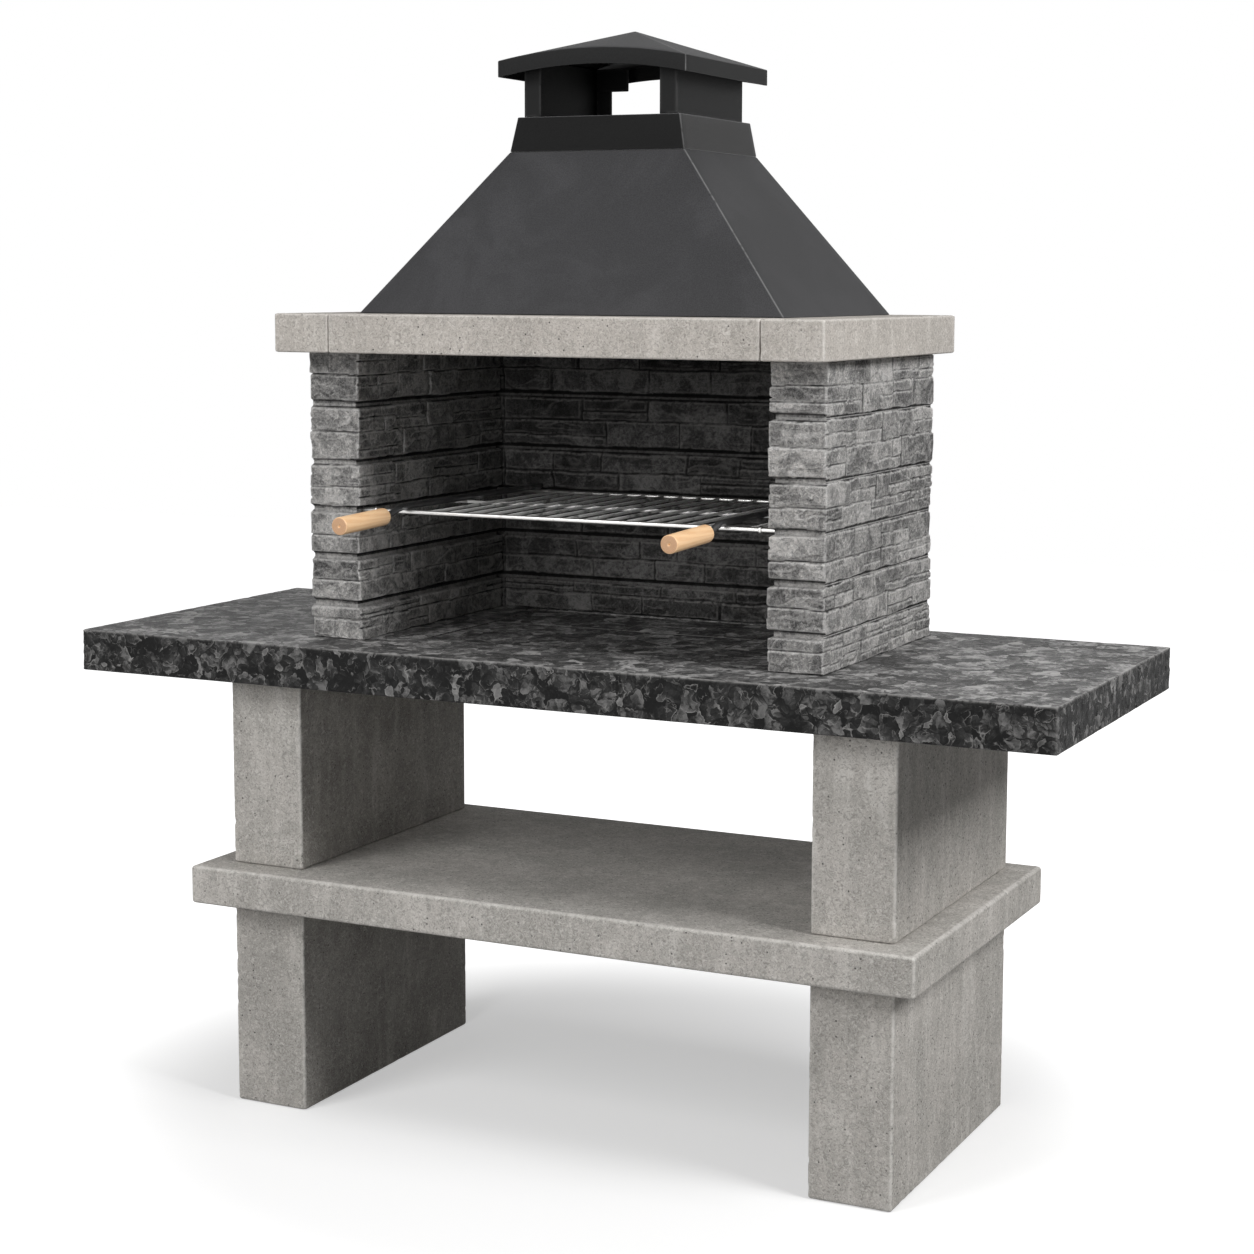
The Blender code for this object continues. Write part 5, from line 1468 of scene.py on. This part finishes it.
seen = seen_ray(tree)
lit = add_node(tree, "BsdfDiffuse", {"Color": mix(tree, seen, grey(0.28), grey(0.62))})
glow = add_node(tree, "Emission", {"Color": grey(1.0), "Strength": times(tree, seen, whitening)})
both = add_node(tree, "AddShader", {0: lit.outputs[0], 1: glow.outputs[0]})
add_node(tree, "OutputMaterial", {"Surface": both.outputs[0]})
floor_mesh.materials.append(floor_finish)

SKY_LIGHT = 0.16
sky = bpy.data.worlds.new("studio")
sky.use_nodes = True
tree = sky.node_tree
tree.nodes.clear()
strength = added(tree, (seen_ray(tree), 1.0 - SKY_LIGHT), SKY_LIGHT)
surround = add_node(tree, "Background", {"Color": grey(1.0), "Strength": strength})
add_node(tree, "OutputWorld", {"Surface": surround.outputs[0]})
bpy.context.scene.world = sky


AIM = Vector((0, 0, 0.9))


def soft_lamp(name, place, size, power):
    """A square area lamp at a place, turned towards the middle of the object."""
    data = bpy.data.lights.new(name, "AREA")
    data.size = size
    data.energy = power
    lamp = show(name, data)
    lamp.location = place
    lamp.rotation_euler = (AIM - Vector(place)).to_track_quat("-Z", "Y").to_euler()
    return lamp


lamps = [soft_lamp("front_lamp", (-1.9, -4.2, 3.6), 1.9, 115),
         soft_lamp("low_lamp", (0.2, -5.0, 1.9), 1.3, 62),
         soft_lamp("right_lamp", (4.4, -0.7, 4.0), 2.0, 230)]
print("lamps:", [lamp.name for lamp in lamps])

# %% [markdown]
# ## Camera
# The photograph is taken from the front right, a little above the worktop, with a long lens,
# which keeps uprights nearly parallel. Its place and turn were worked out from the corners
# of the slabs and legs.

# %% The photograph's viewpoint
CAMERA_PLACE = (1.9715, -3.8968, 1.5210)
TURN, DOWN, ROLL = np.radians((25.2516, 6.9373, 0.2628))
camera_data = bpy.data.cameras.new("photo_camera")
camera_data.sensor_width = 36.0
camera_data.lens = 70.330
camera_data.shift_x = -0.03721
camera_data.shift_y = -0.03861
camera = show("photo_camera", camera_data)
camera.location = CAMERA_PLACE
turn = (Matrix.Rotation(TURN, 4, "Z") @ Matrix.Rotation(np.pi / 2 - DOWN, 4, "X")
        @ Matrix.Rotation(ROLL, 4, "Z"))
camera.rotation_euler = turn.to_euler()
bpy.context.scene.camera = camera
bpy.context.scene.view_settings.view_transform = "Standard"
print("camera at", CAMERA_PLACE, "with a lens of", round(camera_data.lens, 2), "mm")
